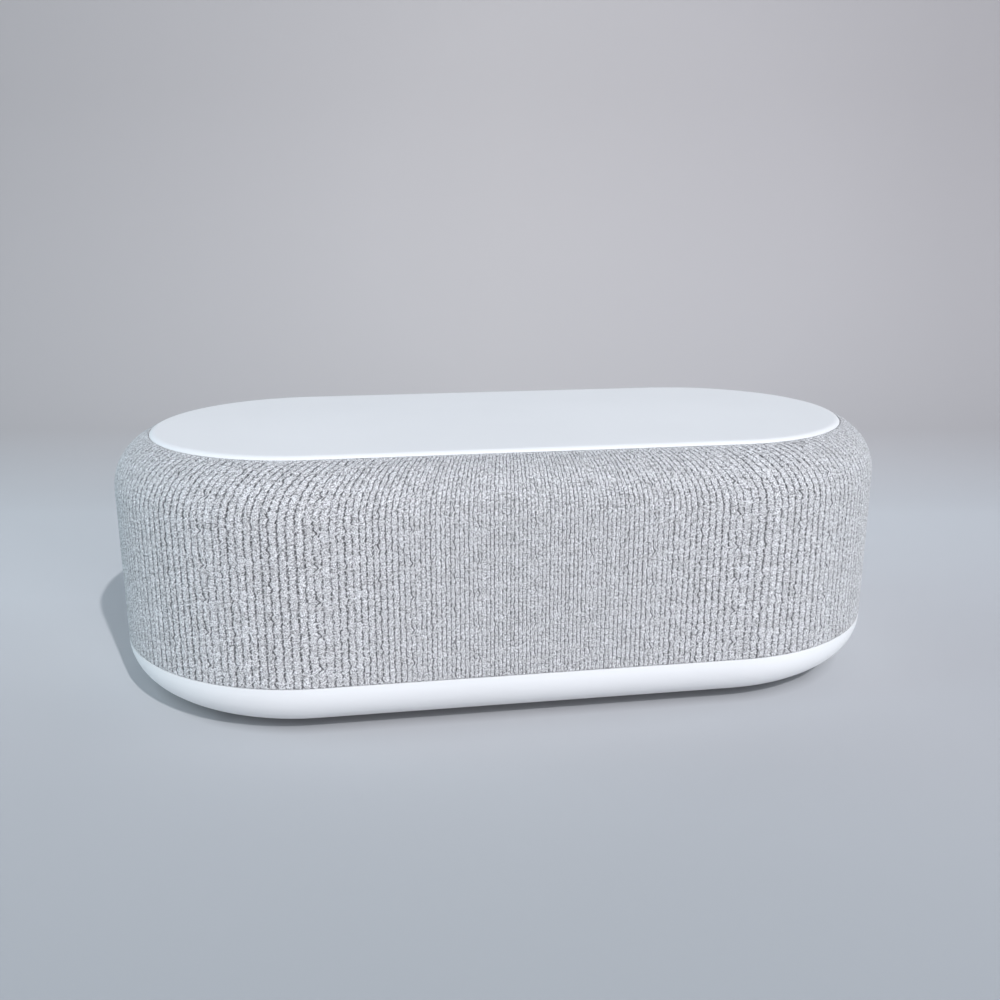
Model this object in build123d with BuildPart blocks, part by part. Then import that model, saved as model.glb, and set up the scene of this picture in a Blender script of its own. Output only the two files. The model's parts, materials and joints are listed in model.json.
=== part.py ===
"""Fabric-covered smart speaker with a wireless charging plate on top. Millimetres, +Z up, front faces -Y."""

import math
import os

from build123d import *

os.makedirs("parts", exist_ok=True)

# Outline
LENGTH = 266.0
WIDTH = 130.0
HEIGHT = 88.0
SHOULDER_R = 18.0
PLATE_INSET = 12.2
BASE_LINE = 18.3
BASE_NOSE_R = 15.0
BASE_SOLE_R = 24.0
FOOT_STANDOFF = 1.0

# Walls and clearances
FABRIC_T = 1.2
FABRIC_GAP = 0.1
HOUSING_T = 2.4
BASE_T = 2.5
GASKET_T = 1.2
GASKET_W = 1.0
FIT = 0.3
SLIP = 0.1

# Charging plate and charger
PLATE_T = 4.0
PLATE_POCKET = 1.2
PLATE_RIM = 5.0
PLATE_CROWN_W = 2.2
PLATE_CROWN_H = 1.1
PLATE_SCREW_X = 72.0
PLATE_SCREW_Y = 30.0
PLATE_BOSS_R = 3.2
TRAY_SIDE = 60.0
TRAY_CORNER = 8.0
TRAY_WALL = 1.5
TRAY_FLANGE = 4.0
COIL_R = 22.0
COIL_EYE_R = 10.0
COIL_T = 2.0
COIL_GROOVES = 5
COIL_GROOVE_W = 0.4
COIL_GROOVE_D = 0.5
FERRITE_SIDE = 52.0
FERRITE_T = 1.0

# Posts and screws
POST_INSET = 13.0
POST_R = 4.0
POST_ANGLE = 55.0
POST_SPLIT = 14.0
POST_WEB_T = 2.0
LUG_H = 13.0
LUG_T = 2.0
LUG_ARC = 50.0
SCREW_R = 1.45
SCREW_HEAD_R = 2.9
SCREW_HEAD_T = 2.2
SCREW_SEAT = 8.0
SCREW_GRIP = 16.0
SMALL_R = 0.85
SMALL_HEAD_R = 1.5
SMALL_HEAD_T = 1.2

# Feet
FOOT_X = 78.0
FOOT_Y = 24.0
FOOT_R = 8.0
FOOT_SEAT = 1.0

# Drivers and radiators
DRIVER_X = 45.0
SEAT_H = 3.0
SEAT_R = 24.3
SEAT_EYE_R = 20.2
RIM_R = 23.5
RIM_EYE_R = 18.6
RIM_T = 1.8
RIM_SCREW_R = 21.9
SEAL_T = 1.0
SEAL_EYE_R = 20.8
CONE_R = 15.6
CONE_LIP = 1.4
CONE_T = 0.6
CONE_DEPTH = 5.4
DOME_RISE = 2.1
ROLL_T = 0.5
ROLL_STEPS = 6
GLUE_R = 20.4
COIL_TUBE_R = 7.6
COIL_TUBE_T = 0.3
WINDING_T = 0.7
WINDING_L = 4.0
TUBE_L = 9.0
AIR_GAP = 0.4
SPIDER_T = 0.4
SPIDER_R = 14.6
SPIDER_DROP = 2.0
BASKET_WALL = 1.2
BASKET_BACK_R = 16.5
WASHER_R = 16.0
WASHER_T = 2.5
MAGNET_R = 17.0
MAGNET_EYE_R = 10.5
MAGNET_T = 6.0
YOKE_T = 2.5
TERMINAL_W = 9.0
TERMINAL_T = 3.0
TERMINAL_L = 4.0
RADIATOR_R = 13.6
RADIATOR_T = 1.6
WEIGHT_R = 8.0
WEIGHT_T = 2.0
CONE_STROKE = 1.5
RADIATOR_STROKE = 2.0

# Grille slots
SLOT_W = 2.4
SLOT_PITCH = 4.8
GRILLE_R = 18.0

# Rear controls
BEZEL_W = 20.0
BEZEL_T = 0.9
BEZEL_LAP = 1.2
BEZEL_CORNER = 5.0
PANEL_T = 3.5
CONTROL_DEPTH = 10.9
FRAME_WALL = 3.0
FRAME_MARGIN = 0.5
BUTTON_R = 2.7
BUTTON_PROUD = 0.4
BUTTON_FLANGE = 0.9
BUTTON_FLANGE_T = 0.8
BUTTON_STEM_R = 1.4
BUTTON_STROKE = 0.6
SWITCH_SIDE = 6.0
SWITCH_H = 4.9
SWITCH_WELL = 2.0
MUTE_W = 4.6
MUTE_H = 3.0
MUTE_STROKE = 3.0
MUTE_LEVER = 1.6
MUTE_PLATE_LAP = 1.0
USB_W = 13.0
USB_H = 7.2
USB_CORNER = 3.0
USB_POCKET = 5.2
USB_WALL = 1.0
SOCKET_W = 8.94
SOCKET_H = 3.26
SOCKET_SKIN = 0.35
SOCKET_TONGUE_W = 6.7
SOCKET_TONGUE_T = 0.7
PANEL_SCREW_X = 6.4
PANEL_BOSS_R = 2.0
# Place of each control up the panel, as a share of the panel's height
CONTROL_SHARE = {"usb": 0.14, "power": 0.36, "volume_down": 0.535, "volume_up": 0.71, "mute": 0.885}

# Boards
BOARD_T = 1.6
BOARD_LIFT = 8.0
BOARD_X = 74.0
BOARD_L = 54.0
BOARD_W = 58.0
BOARD_HOLE_INSET = 4.0
STANDOFF_R = 3.0
SHIELD_L = 24.0
SHIELD_T = 3.0
CAP_R = 4.0
CAP_H = 7.0
PLUG_L = 8.0
PLUG_D = 6.0
PLUG_H = 5.0
PLUG_PITCH = 14.0
CHARGER_L = 44.0
CHARGER_W = 50.0
CHOKE_L = 10.0
CHOKE_H = 5.0
CHOKE_PITCH = 14.0
MIC_L = 30.0
MIC_H = 10.0
MIC_T = 1.2
MIC_PIN_R = 1.0
MIC_X = 10.0
MIC_CAN_L = 4.0
MIC_CAN_T = 1.0
MIC_PORT_R = 0.8

# Battery
CELL_R = 9.2
CELL_L = 65.0
CELL_GAP = 0.2
CELL_PITCH = 20.4
TRAY_SKIN = 1.4
EAR_L = 8.0
EAR_W = 8.0
EAR_T = 2.0

# Leads
LEAD_R = 1.0
LEAD_BEND = 3.2
LEAD_RUN = 7.0

# Angles in degrees
QUARTER = 90.0
HALF_TURN = 180.0

# Worked out from the sizes above
WALL_R = WIDTH / 2
HALF_SPINE = (LENGTH - WIDTH) / 2
SHOULDER_Z = HEIGHT - SHOULDER_R
SHOULDER_C = WALL_R - SHOULDER_R
PLATE_R = WALL_R - PLATE_INSET
PLATE_SEAT = HEIGHT - PLATE_T
HEM_R = PLATE_R + SLIP
LIP_R = HEM_R + FABRIC_T + FABRIC_GAP
HOUSING_R = WALL_R - FABRIC_T - FABRIC_GAP
HOUSING_IN_R = HOUSING_R - HOUSING_T
HOUSING_ARC = HOUSING_R - SHOULDER_C
HOUSING_IN_ARC = HOUSING_ARC - HOUSING_T
HOUSING_LOW = BASE_LINE + GASKET_T
DECK_LOW = PLATE_SEAT - HOUSING_T
BASE_FLOOR = FOOT_STANDOFF + BASE_T
NOSE_X = WALL_R - BASE_NOSE_R
SOLE_Z = FOOT_STANDOFF + BASE_SOLE_R
SOLE_X = NOSE_X - math.sqrt((BASE_SOLE_R - BASE_NOSE_R) ** 2 - (SOLE_Z - BASE_LINE) ** 2)
NOSE_TURN = math.degrees(math.atan2(SOLE_Z - BASE_LINE, NOSE_X - SOLE_X))
POST_C = WALL_R - POST_INSET
FLAT_H = SHOULDER_Z - HOUSING_LOW
FLAT_MID = (SHOULDER_Z + HOUSING_LOW) / 2
SEAT_Y = HOUSING_IN_R - SEAT_H
FRAME_H = FLAT_H - 2 * FRAME_MARGIN
FRAME_W = BEZEL_W - 2 * BEZEL_LAP + 2 * FRAME_WALL
WINDOW_H = FRAME_H - 2 * FRAME_WALL
WINDOW_W = FRAME_W - 2 * FRAME_WALL
WINDOW_CORNER = BEZEL_CORNER - BEZEL_LAP
BEZEL_H = WINDOW_H + 2 * BEZEL_LAP
PANEL_LOW = FLAT_MID - BEZEL_H / 2
BEZEL_Y = WALL_R + BEZEL_T
CONTROL_Y = BEZEL_Y - CONTROL_DEPTH
BOARD_Z = BASE_FLOOR + BOARD_LIFT
BOARD_TOP = BOARD_Z + BOARD_T
CELL_Z = BASE_FLOOR + TRAY_SKIN + CELL_GAP + CELL_R
EAR_X = CELL_L / 2 + CELL_GAP + TRAY_SKIN
FERRITE_Z = PLATE_SEAT + PLATE_POCKET - COIL_T - FERRITE_T - SLIP
TRAY_LOW = FERRITE_Z - TRAY_WALL
CONE_A = SEAL_T
NECK_A = CONE_A + CONE_DEPTH
TUBE_A = NECK_A + CONE_T
SPIDER_A = TUBE_A + SPIDER_DROP
LEDGE_A = SPIDER_A + SPIDER_T
MOTOR_A = LEDGE_A + 2 * BASKET_WALL
MOTOR_BACK_A = MOTOR_A + WASHER_T + MAGNET_T + YOKE_T
GAP_R = COIL_TUBE_R + WINDING_T + AIR_GAP
POLE_R = COIL_TUBE_R - AIR_GAP

RIGHT_AXIS = Axis((HALF_SPINE, 0, 0), (0, 0, 1))
LEFT_AXIS = Axis((-HALF_SPINE, 0, 0), (0, 0, 1))
FRONT_HALF = Plane(origin=(HALF_SPINE, 0, 0), x_dir=(0, -1, 0), z_dir=(-1, 0, 0))
BACK_HALF = Plane(origin=(-HALF_SPINE, 0, 0), x_dir=(0, 1, 0), z_dir=(1, 0, 0))

POSTS = [
    (side * (HALF_SPINE + POST_C * math.cos(math.radians(a))), POST_C * math.sin(math.radians(a)))
    for side in (-1, 1)
    for a in (-POST_ANGLE, 0, POST_ANGLE)
]
POST_TURNS = [
    Location((side * HALF_SPINE, 0, 0), (0, 0, a if side > 0 else HALF_TURN - a))
    for side in (-1, 1)
    for a in (-POST_ANGLE, 0, POST_ANGLE)
]
FEET = [(sx * FOOT_X, sy * FOOT_Y) for sx in (-1, 1) for sy in (-1, 1)]
PLATE_SCREWS = [(sx * PLATE_SCREW_X, sy * PLATE_SCREW_Y) for sx in (-1, 1) for sy in (-1, 1)]
MAIN_HOLES = [
    (BOARD_X + sx * (BOARD_L / 2 - BOARD_HOLE_INSET), sy * (BOARD_W / 2 - BOARD_HOLE_INSET))
    for sx in (-1, 1)
    for sy in (-1, 1)
]
CHARGER_HOLES = [
    (-BOARD_X + sx * (CHARGER_L / 2 - BOARD_HOLE_INSET), sy * (CHARGER_W / 2 - BOARD_HOLE_INSET))
    for sx in (-1, 1)
    for sy in (-1, 1)
]
EARS = [(sx * (EAR_X + EAR_L / 2), 0) for sx in (-1, 1)]
RIM_SCREWS = [
    (RIM_SCREW_R * math.cos(math.radians(a)), RIM_SCREW_R * math.sin(math.radians(a)))
    for a in (45, 135, 225, 315)
]
CONTROL_Z = {name: PANEL_LOW + share * BEZEL_H for name, share in CONTROL_SHARE.items()}
BUTTONS = ["power", "volume_down", "volume_up"]
PANEL_SCREWS = [(sx * PANEL_SCREW_X, CONTROL_Z[n]) for sx in (-1, 1) for n in ("power", "volume_up")]


def carry_round(section):
    """Carry a radial half section along both straight walls and round both ends."""
    halves = section.sketch.faces().sort_by(Axis.Y)
    extrude(amount=2 * HALF_SPINE)
    revolve(halves[0], axis=RIGHT_AXIS, revolution_arc=HALF_TURN)
    revolve(halves[-1], axis=LEFT_AXIS, revolution_arc=HALF_TURN)


def dish_curve(inset):
    """Underside of the base, moved inwards by this much: a wide arc from the flat sole, then the nose."""
    sole = CenterArc((SOLE_X, SOLE_Z), BASE_SOLE_R - inset, -QUARTER, QUARTER - NOSE_TURN)
    nose = CenterArc((NOSE_X, BASE_LINE), BASE_NOSE_R - inset, -NOSE_TURN, NOSE_TURN)
    return sole, nose


def half_roll(centre, level, radius):
    """Points over a half-round roll, from its inner foot to its outer foot."""
    turns = [i * math.pi / ROLL_STEPS for i in range(ROLL_STEPS + 1)]
    return [(centre - radius * math.cos(a), level - radius * math.sin(a)) for a in turns]


def front_section(x):
    """Half section of a front unit: local x is its radius and local y its depth behind the seat."""
    return Plane(origin=(x, -SEAT_Y, FLAT_MID))


def rear_section(x):
    """Half section of a rear unit: local x is its radius and local y its depth behind the seat."""
    return Plane(origin=(x, SEAT_Y, FLAT_MID), x_dir=(-1, 0, 0), z_dir=(0, 0, 1))


def front_face(depth, x=0.0, z=0.0):
    """Upright plane that faces the front, at this depth behind the front seat."""
    return Plane(origin=(x, -SEAT_Y + depth, z), x_dir=(1, 0, 0), z_dir=(0, -1, 0))


def rear_face(y, x=0.0, z=0.0):
    """Upright plane that faces the rear, at this y."""
    return Plane(origin=(x, y, z), x_dir=(-1, 0, 0), z_dir=(0, 1, 0))


def unit_axis(x, y):
    """Axis of a driver or radiator."""
    return Axis((x, y, FLAT_MID), (0, 1, 0))


# Base: a bullnose dish with bosses for the posts, the boards and the battery
with BuildPart() as base_hollow:
    with BuildSketch(FRONT_HALF, BACK_HALF) as hollow_half:
        with BuildLine():
            sole, nose = dish_curve(BASE_T)
            Polyline(
                nose @ 1,
                (WALL_R - BASE_T, BASE_LINE + GASKET_T),
                (0, BASE_LINE + GASKET_T),
                (0, BASE_FLOOR),
                sole @ 0,
            )
        make_face()
    carry_round(hollow_half)
    for spots, radius, top in (
        (POSTS, POST_R, POST_SPLIT),
        (MAIN_HOLES + CHARGER_HOLES, STANDOFF_R, BOARD_Z),
        (EARS, STANDOFF_R, CELL_Z - EAR_T),
    ):
        with BuildSketch():
            with Locations(*spots):
                Circle(radius)
        extrude(amount=top, mode=Mode.SUBTRACT)

with BuildPart() as base_pan:
    with BuildSketch(FRONT_HALF, BACK_HALF) as pan_half:
        with BuildLine():
            sole, nose = dish_curve(0)
            Polyline(nose @ 1, (0, BASE_LINE), (0, FOOT_STANDOFF), sole @ 0)
        make_face()
    carry_round(pan_half)
    add(base_hollow.part, mode=Mode.SUBTRACT)
    # Upright lugs that locate the housing at both ends
    with BuildSketch(Plane.XY.offset(SCREW_SEAT)):
        with Locations((HALF_SPINE, 0)):
            SlotArc(
                CenterArc((0, 0), HOUSING_IN_R - FIT - LUG_T / 2, -LUG_ARC / 2, LUG_ARC),
                LUG_T,
            )
        with Locations((-HALF_SPINE, 0)):
            SlotArc(
                CenterArc((0, 0), HOUSING_IN_R - FIT - LUG_T / 2, HALF_TURN - LUG_ARC / 2, LUG_ARC),
                LUG_T,
            )
    extrude(amount=LUG_H)
    # Screw holes with wells for the heads, pilot holes in the standoffs, seats for the feet
    with BuildSketch():
        with Locations(*POSTS):
            Circle(SCREW_R + FIT)
    extrude(amount=POST_SPLIT, mode=Mode.SUBTRACT)
    with BuildSketch():
        with Locations(*POSTS):
            Circle(SCREW_HEAD_R + FIT)
    extrude(amount=SCREW_SEAT, mode=Mode.SUBTRACT)
    with BuildSketch(Plane.XY.offset(BASE_FLOOR)):
        with Locations(*MAIN_HOLES, *CHARGER_HOLES, *EARS):
            Circle(SMALL_R + SLIP)
    extrude(amount=CELL_Z, mode=Mode.SUBTRACT)
    with BuildSketch():
        with Locations(*FEET):
            Circle(FOOT_R + FIT)
    extrude(amount=FOOT_STANDOFF + FOOT_SEAT, mode=Mode.SUBTRACT)
base_pan.part.label = "base_pan"
export_step(base_pan.part, "parts/base_pan.step")

with BuildPart() as rubber_feet:
    with BuildSketch():
        with Locations(*FEET):
            Circle(FOOT_R)
    extrude(amount=FOOT_STANDOFF + FOOT_SEAT)
    chamfer(rubber_feet.edges().group_by(Axis.Z)[0], FOOT_STANDOFF / 2)
rubber_feet.part.label = "rubber_feet"
export_step(rubber_feet.part, "parts/rubber_feet.step")

with BuildPart() as base_screws:
    with BuildSketch(Plane.XY.offset(SCREW_SEAT - SCREW_HEAD_T)):
        with Locations(*POSTS):
            Circle(SCREW_HEAD_R)
    extrude(amount=SCREW_HEAD_T)
    with BuildSketch(Plane.XY.offset(SCREW_SEAT)):
        with Locations(*POSTS):
            Circle(SCREW_R)
    extrude(amount=SCREW_GRIP)
    with BuildSketch(Plane.XY.offset(SCREW_SEAT - SCREW_HEAD_T)):
        with Locations(*POSTS):
            Rectangle(SCREW_HEAD_R, SCREW_HEAD_T / 4)
            Rectangle(SCREW_HEAD_T / 4, SCREW_HEAD_R)
    extrude(amount=SCREW_HEAD_T / 2, mode=Mode.SUBTRACT)
base_screws.part.label = "base_screws"
export_step(base_screws.part, "parts/base_screws.step")

with BuildPart() as base_gasket:
    with BuildSketch(Plane.XY.offset(BASE_LINE)):
        SlotCenterToCenter(2 * HALF_SPINE, 2 * (WALL_R - BASE_T + SLIP + GASKET_W))
        SlotCenterToCenter(2 * HALF_SPINE, 2 * (WALL_R - BASE_T + SLIP), mode=Mode.SUBTRACT)
    extrude(amount=GASKET_T)
base_gasket.part.label = "base_gasket"
export_step(base_gasket.part, "parts/base_gasket.step")

# Knitted sleeve: stands on the base, follows wall and shoulder, and its hem is tucked beside the plate
HEM_ANGLE = math.degrees(math.acos((HEM_R - SHOULDER_C) / SHOULDER_R))
SLEEVE_IN_ARC = SHOULDER_R - FABRIC_T
HEM_IN_ANGLE = math.degrees(math.acos((HEM_R + FABRIC_T - SHOULDER_C) / SLEEVE_IN_ARC))
with BuildPart() as fabric_sleeve:
    with BuildSketch(FRONT_HALF, BACK_HALF) as sleeve_half:
        with BuildLine():
            f1 = Line((WALL_R, BASE_LINE), (WALL_R, SHOULDER_Z))
            f2 = CenterArc((SHOULDER_C, SHOULDER_Z), SHOULDER_R, 0, HEM_ANGLE)
            f3 = Polyline(
                f2 @ 1,
                (HEM_R, PLATE_SEAT + SLIP),
                (HEM_R + FABRIC_T, PLATE_SEAT + SLIP),
            )
            f4 = CenterArc((SHOULDER_C, SHOULDER_Z), SLEEVE_IN_ARC, 0, HEM_IN_ANGLE)
            f5 = Line(f3 @ 1, f4 @ 1)
            f6 = Polyline(f4 @ 0, (WALL_R - FABRIC_T, BASE_LINE), f1 @ 0)
        make_face()
    carry_round(sleeve_half)
    with BuildSketch(rear_face(HOUSING_R, z=FLAT_MID)):
        RectangleRounded(WINDOW_W, WINDOW_H, WINDOW_CORNER)
    extrude(amount=FABRIC_T + FIT, mode=Mode.SUBTRACT)
fabric_sleeve.part.label = "fabric_sleeve"
export_step(fabric_sleeve.part, "parts/fabric_sleeve.step")

# Housing: wall, shoulder and deck in one shell, with seats, posts, a control frame and slotted grilles
LIP_ANGLE = math.degrees(math.acos((LIP_R - SHOULDER_C) / HOUSING_ARC))
DECK_ANGLE = math.degrees(math.asin((DECK_LOW - SHOULDER_Z) / HOUSING_IN_ARC))
with BuildPart() as housing:
    with BuildSketch(FRONT_HALF, BACK_HALF) as shell_half:
        with BuildLine():
            h1 = Line((HOUSING_R, HOUSING_LOW), (HOUSING_R, SHOULDER_Z))
            h2 = CenterArc((SHOULDER_C, SHOULDER_Z), HOUSING_ARC, 0, LIP_ANGLE)
            h3 = CenterArc((SHOULDER_C, SHOULDER_Z), HOUSING_IN_ARC, 0, DECK_ANGLE)
            h4 = Polyline(h2 @ 1, (LIP_R, PLATE_SEAT), (0, PLATE_SEAT), (0, DECK_LOW), h3 @ 1)
            h5 = Polyline(h3 @ 0, (HOUSING_IN_R, HOUSING_LOW), h1 @ 0)
        make_face()
    carry_round(shell_half)
    # Screw posts hang from the deck and are tied to the wall by webs
    with BuildSketch(Plane.XY.offset(POST_SPLIT)):
        with Locations(*POSTS):
            Circle(POST_R)
    extrude(amount=DECK_LOW - POST_SPLIT + SLIP)
    with BuildSketch(Plane.XY.offset(SCREW_SEAT + SCREW_GRIP)):
        with Locations(*POST_TURNS):
            with Locations(((POST_C + HOUSING_IN_R + SLIP) / 2, 0)):
                Rectangle(HOUSING_IN_R + SLIP - POST_C, POST_WEB_T)
    extrude(amount=SHOULDER_Z - SCREW_SEAT - SCREW_GRIP)
    with BuildSketch(Plane.XY.offset(POST_SPLIT)):
        with Locations(*POSTS):
            Circle(SCREW_R + SLIP)
    extrude(amount=SCREW_GRIP, mode=Mode.SUBTRACT)
    # Raised seats for the drivers in front and the radiators behind
    for x in (-DRIVER_X, DRIVER_X):
        with BuildSketch(front_face(0, x, FLAT_MID), rear_face(SEAT_Y, x, FLAT_MID)):
            Circle(SEAT_R)
            Circle(SEAT_EYE_R, mode=Mode.SUBTRACT)
        extrude(amount=SEAT_H + SLIP)
        with BuildSketch(front_face(0, x, FLAT_MID), rear_face(SEAT_Y, x, FLAT_MID)):
            with Locations(*RIM_SCREWS):
                Circle(SMALL_R + SLIP)
        extrude(amount=SEAT_H + HOUSING_T / 2, mode=Mode.SUBTRACT)
        # Upright slots, each as long as the round opening leaves at its place
        rows = int(GRILLE_R / SLOT_PITCH)
        with BuildSketch(front_face(-SEAT_H, x, FLAT_MID), rear_face(HOUSING_IN_R, x, FLAT_MID)):
            for i in range(-rows, rows + 1):
                with Locations((i * SLOT_PITCH, 0)):
                    Rectangle(SLOT_W, 2 * math.sqrt(GRILLE_R**2 - (i * SLOT_PITCH) ** 2))
        extrude(amount=HOUSING_T, mode=Mode.SUBTRACT)
    # Frame behind the rear controls, and the window through it
    with BuildSketch(rear_face(CONTROL_Y, z=FLAT_MID)):
        Rectangle(FRAME_W, FRAME_H)
    extrude(amount=HOUSING_IN_R - CONTROL_Y + SLIP)
    with BuildSketch(rear_face(CONTROL_Y, z=FLAT_MID)):
        RectangleRounded(WINDOW_W, WINDOW_H, WINDOW_CORNER)
    extrude(amount=HOUSING_R - CONTROL_Y, mode=Mode.SUBTRACT)
    # Opening for the coil tray, and holes for the plate screws
    with BuildSketch(Plane.XY.offset(DECK_LOW)):
        RectangleRounded(TRAY_SIDE, TRAY_SIDE, TRAY_CORNER)
        with Locations(*PLATE_SCREWS):
            Circle(SMALL_R + FIT)
    extrude(amount=HOUSING_T, mode=Mode.SUBTRACT)
    # Pins and ports for the microphone board
    with BuildSketch(front_face(-SEAT_H + MIC_T, 0, SHOULDER_Z - MIC_H)):
        with Locations((-MIC_X - MIC_CAN_L / 2, 0), (MIC_X + MIC_CAN_L / 2, 0)):
            Circle(MIC_PIN_R)
    extrude(amount=MIC_T + SLIP)
    with BuildSketch(front_face(-SEAT_H, 0, SHOULDER_Z - MIC_H)):
        with Locations((-MIC_X / 2, 0), (MIC_X / 2, 0)):
            Circle(MIC_PORT_R)
    extrude(amount=HOUSING_T, mode=Mode.SUBTRACT)
housing.part.label = "housing"
export_step(housing.part, "parts/housing.step")

# Charging plate with a crowned rim, a shallow pocket for the tray flange and screw bosses
with BuildPart() as top_plate:
    with BuildSketch(FRONT_HALF, BACK_HALF) as plate_half:
        with BuildLine():
            crown = TangentArc(
                (PLATE_R - PLATE_CROWN_W, HEIGHT),
                (PLATE_R, HEIGHT - PLATE_CROWN_H),
                tangent=(1, 0),
            )
            Polyline(
                crown @ 1,
                (PLATE_R, PLATE_SEAT),
                (PLATE_R - PLATE_RIM, PLATE_SEAT),
                (PLATE_R - PLATE_RIM, PLATE_SEAT + PLATE_POCKET),
                (0, PLATE_SEAT + PLATE_POCKET),
                (0, HEIGHT),
                crown @ 0,
            )
        make_face()
    carry_round(plate_half)
    with BuildSketch(Plane.XY.offset(PLATE_SEAT)):
        with Locations(*PLATE_SCREWS):
            Circle(PLATE_BOSS_R)
    extrude(amount=PLATE_POCKET + SLIP)
    with BuildSketch(Plane.XY.offset(PLATE_SEAT)):
        with Locations(*PLATE_SCREWS):
            Circle(SMALL_R + SLIP)
    extrude(amount=PLATE_T * 2 / 3, mode=Mode.SUBTRACT)
top_plate.part.label = "top_plate"
export_step(top_plate.part, "parts/top_plate.step")

with BuildPart() as plate_screws:
    with BuildSketch(Plane.XY.offset(DECK_LOW - SMALL_HEAD_T)):
        with Locations(*PLATE_SCREWS):
            Circle(SMALL_HEAD_R)
    extrude(amount=SMALL_HEAD_T)
    with BuildSketch(Plane.XY.offset(DECK_LOW)):
        with Locations(*PLATE_SCREWS):
            Circle(SMALL_R)
    extrude(amount=HOUSING_T + PLATE_T / 2)
plate_screws.part.label = "plate_screws"
export_step(plate_screws.part, "parts/plate_screws.step")

# Wireless charger under the plate
with BuildPart() as coil_tray:
    with BuildSketch(Plane.XY.offset(TRAY_LOW)):
        RectangleRounded(TRAY_SIDE - 2 * FIT, TRAY_SIDE - 2 * FIT, TRAY_CORNER - FIT)
    extrude(amount=PLATE_SEAT - TRAY_LOW)
    with BuildSketch(Plane.XY.offset(PLATE_SEAT)):
        RectangleRounded(TRAY_SIDE + 2 * TRAY_FLANGE, TRAY_SIDE + 2 * TRAY_FLANGE, TRAY_CORNER + TRAY_FLANGE)
    extrude(amount=PLATE_POCKET)
    with BuildSketch(Plane.XY.offset(FERRITE_Z)):
        RectangleRounded(
            TRAY_SIDE - 2 * FIT - 2 * TRAY_WALL,
            TRAY_SIDE - 2 * FIT - 2 * TRAY_WALL,
            TRAY_CORNER - FIT - TRAY_WALL,
        )
    extrude(amount=PLATE_SEAT + PLATE_POCKET - FERRITE_Z, mode=Mode.SUBTRACT)
coil_tray.part.label = "coil_tray"
export_step(coil_tray.part, "parts/coil_tray.step")

with BuildPart() as ferrite_sheet:
    with BuildSketch(Plane.XY.offset(FERRITE_Z)):
        Rectangle(FERRITE_SIDE, FERRITE_SIDE)
    extrude(amount=FERRITE_T)
ferrite_sheet.part.label = "ferrite_sheet"
export_step(ferrite_sheet.part, "parts/ferrite_sheet.step")

with BuildPart() as charging_coil:
    with BuildSketch(Plane.XY.offset(FERRITE_Z + FERRITE_T)):
        Circle(COIL_R)
        Circle(COIL_EYE_R, mode=Mode.SUBTRACT)
    extrude(amount=COIL_T)
    with BuildSketch(Plane.XY.offset(FERRITE_Z + FERRITE_T + COIL_T - COIL_GROOVE_D)):
        for i in range(1, COIL_GROOVES + 1):
            groove_r = COIL_EYE_R + i * (COIL_R - COIL_EYE_R) / (COIL_GROOVES + 1)
            Circle(groove_r + COIL_GROOVE_W / 2)
            Circle(groove_r - COIL_GROOVE_W / 2, mode=Mode.SUBTRACT)
    extrude(amount=COIL_GROOVE_D, mode=Mode.SUBTRACT)
charging_coil.part.label = "charging_coil"
export_step(charging_coil.part, "parts/charging_coil.step")

with BuildPart() as charger_board:
    with BuildSketch(Plane.XY.offset(BOARD_Z)):
        with Locations((-BOARD_X, 0)):
            Rectangle(CHARGER_L, CHARGER_W)
        with Locations(*CHARGER_HOLES):
            Circle(SMALL_R + FIT, mode=Mode.SUBTRACT)
    extrude(amount=BOARD_T)
charger_board.part.label = "charger_board"
export_step(charger_board.part, "parts/charger_board.step")

COIL_PLUG = (-BOARD_X + CHARGER_L / 2 - 2 * PLUG_D, PLUG_L)
CHARGER_PLUG = (-BOARD_X, CHARGER_W / 2 - PLUG_D / 2)
with BuildPart() as charger_parts:
    with BuildSketch(Plane.XY.offset(BOARD_TOP)):
        with Locations((-BOARD_X - CHOKE_PITCH / 2, 0)):
            with GridLocations(CHOKE_PITCH, CHOKE_PITCH, 2, 2):
                Rectangle(CHOKE_L, CHOKE_L)
    extrude(amount=CHOKE_H)
    with BuildSketch(Plane.XY.offset(BOARD_TOP)):
        with Locations(COIL_PLUG):
            Rectangle(PLUG_D, PLUG_L)
        with Locations(CHARGER_PLUG):
            Rectangle(PLUG_L, PLUG_D)
    extrude(amount=PLUG_H)
charger_parts.part.label = "charger_parts"
export_step(charger_parts.part, "parts/charger_parts.step")

# Main board
with BuildPart() as main_board:
    with BuildSketch(Plane.XY.offset(BOARD_Z)):
        with Locations((BOARD_X, 0)):
            Rectangle(BOARD_L, BOARD_W)
        with Locations(*MAIN_HOLES):
            Circle(SMALL_R + FIT, mode=Mode.SUBTRACT)
    extrude(amount=BOARD_T)
main_board.part.label = "main_board"
export_step(main_board.part, "parts/main_board.step")

with BuildPart() as shield_can:
    with BuildSketch(Plane.XY.offset(BOARD_TOP)):
        with Locations((BOARD_X, 0)):
            RectangleRounded(SHIELD_L, SHIELD_L, SHIELD_T / 3)
    extrude(amount=SHIELD_T)
shield_can.part.label = "shield_can"
export_step(shield_can.part, "parts/shield_can.step")

with BuildPart() as board_capacitors:
    with BuildSketch(Plane.XY.offset(BOARD_TOP)):
        with Locations((BOARD_X + BOARD_L / 2 - 2 * CAP_R, 0)):
            with GridLocations(0, 3 * CAP_R, 1, 3):
                Circle(CAP_R)
    extrude(amount=CAP_H)
    chamfer(board_capacitors.edges().group_by(Axis.Z)[-1], CAP_R / 8)
board_capacitors.part.label = "board_capacitors"
export_step(board_capacitors.part, "parts/board_capacitors.step")

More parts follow.
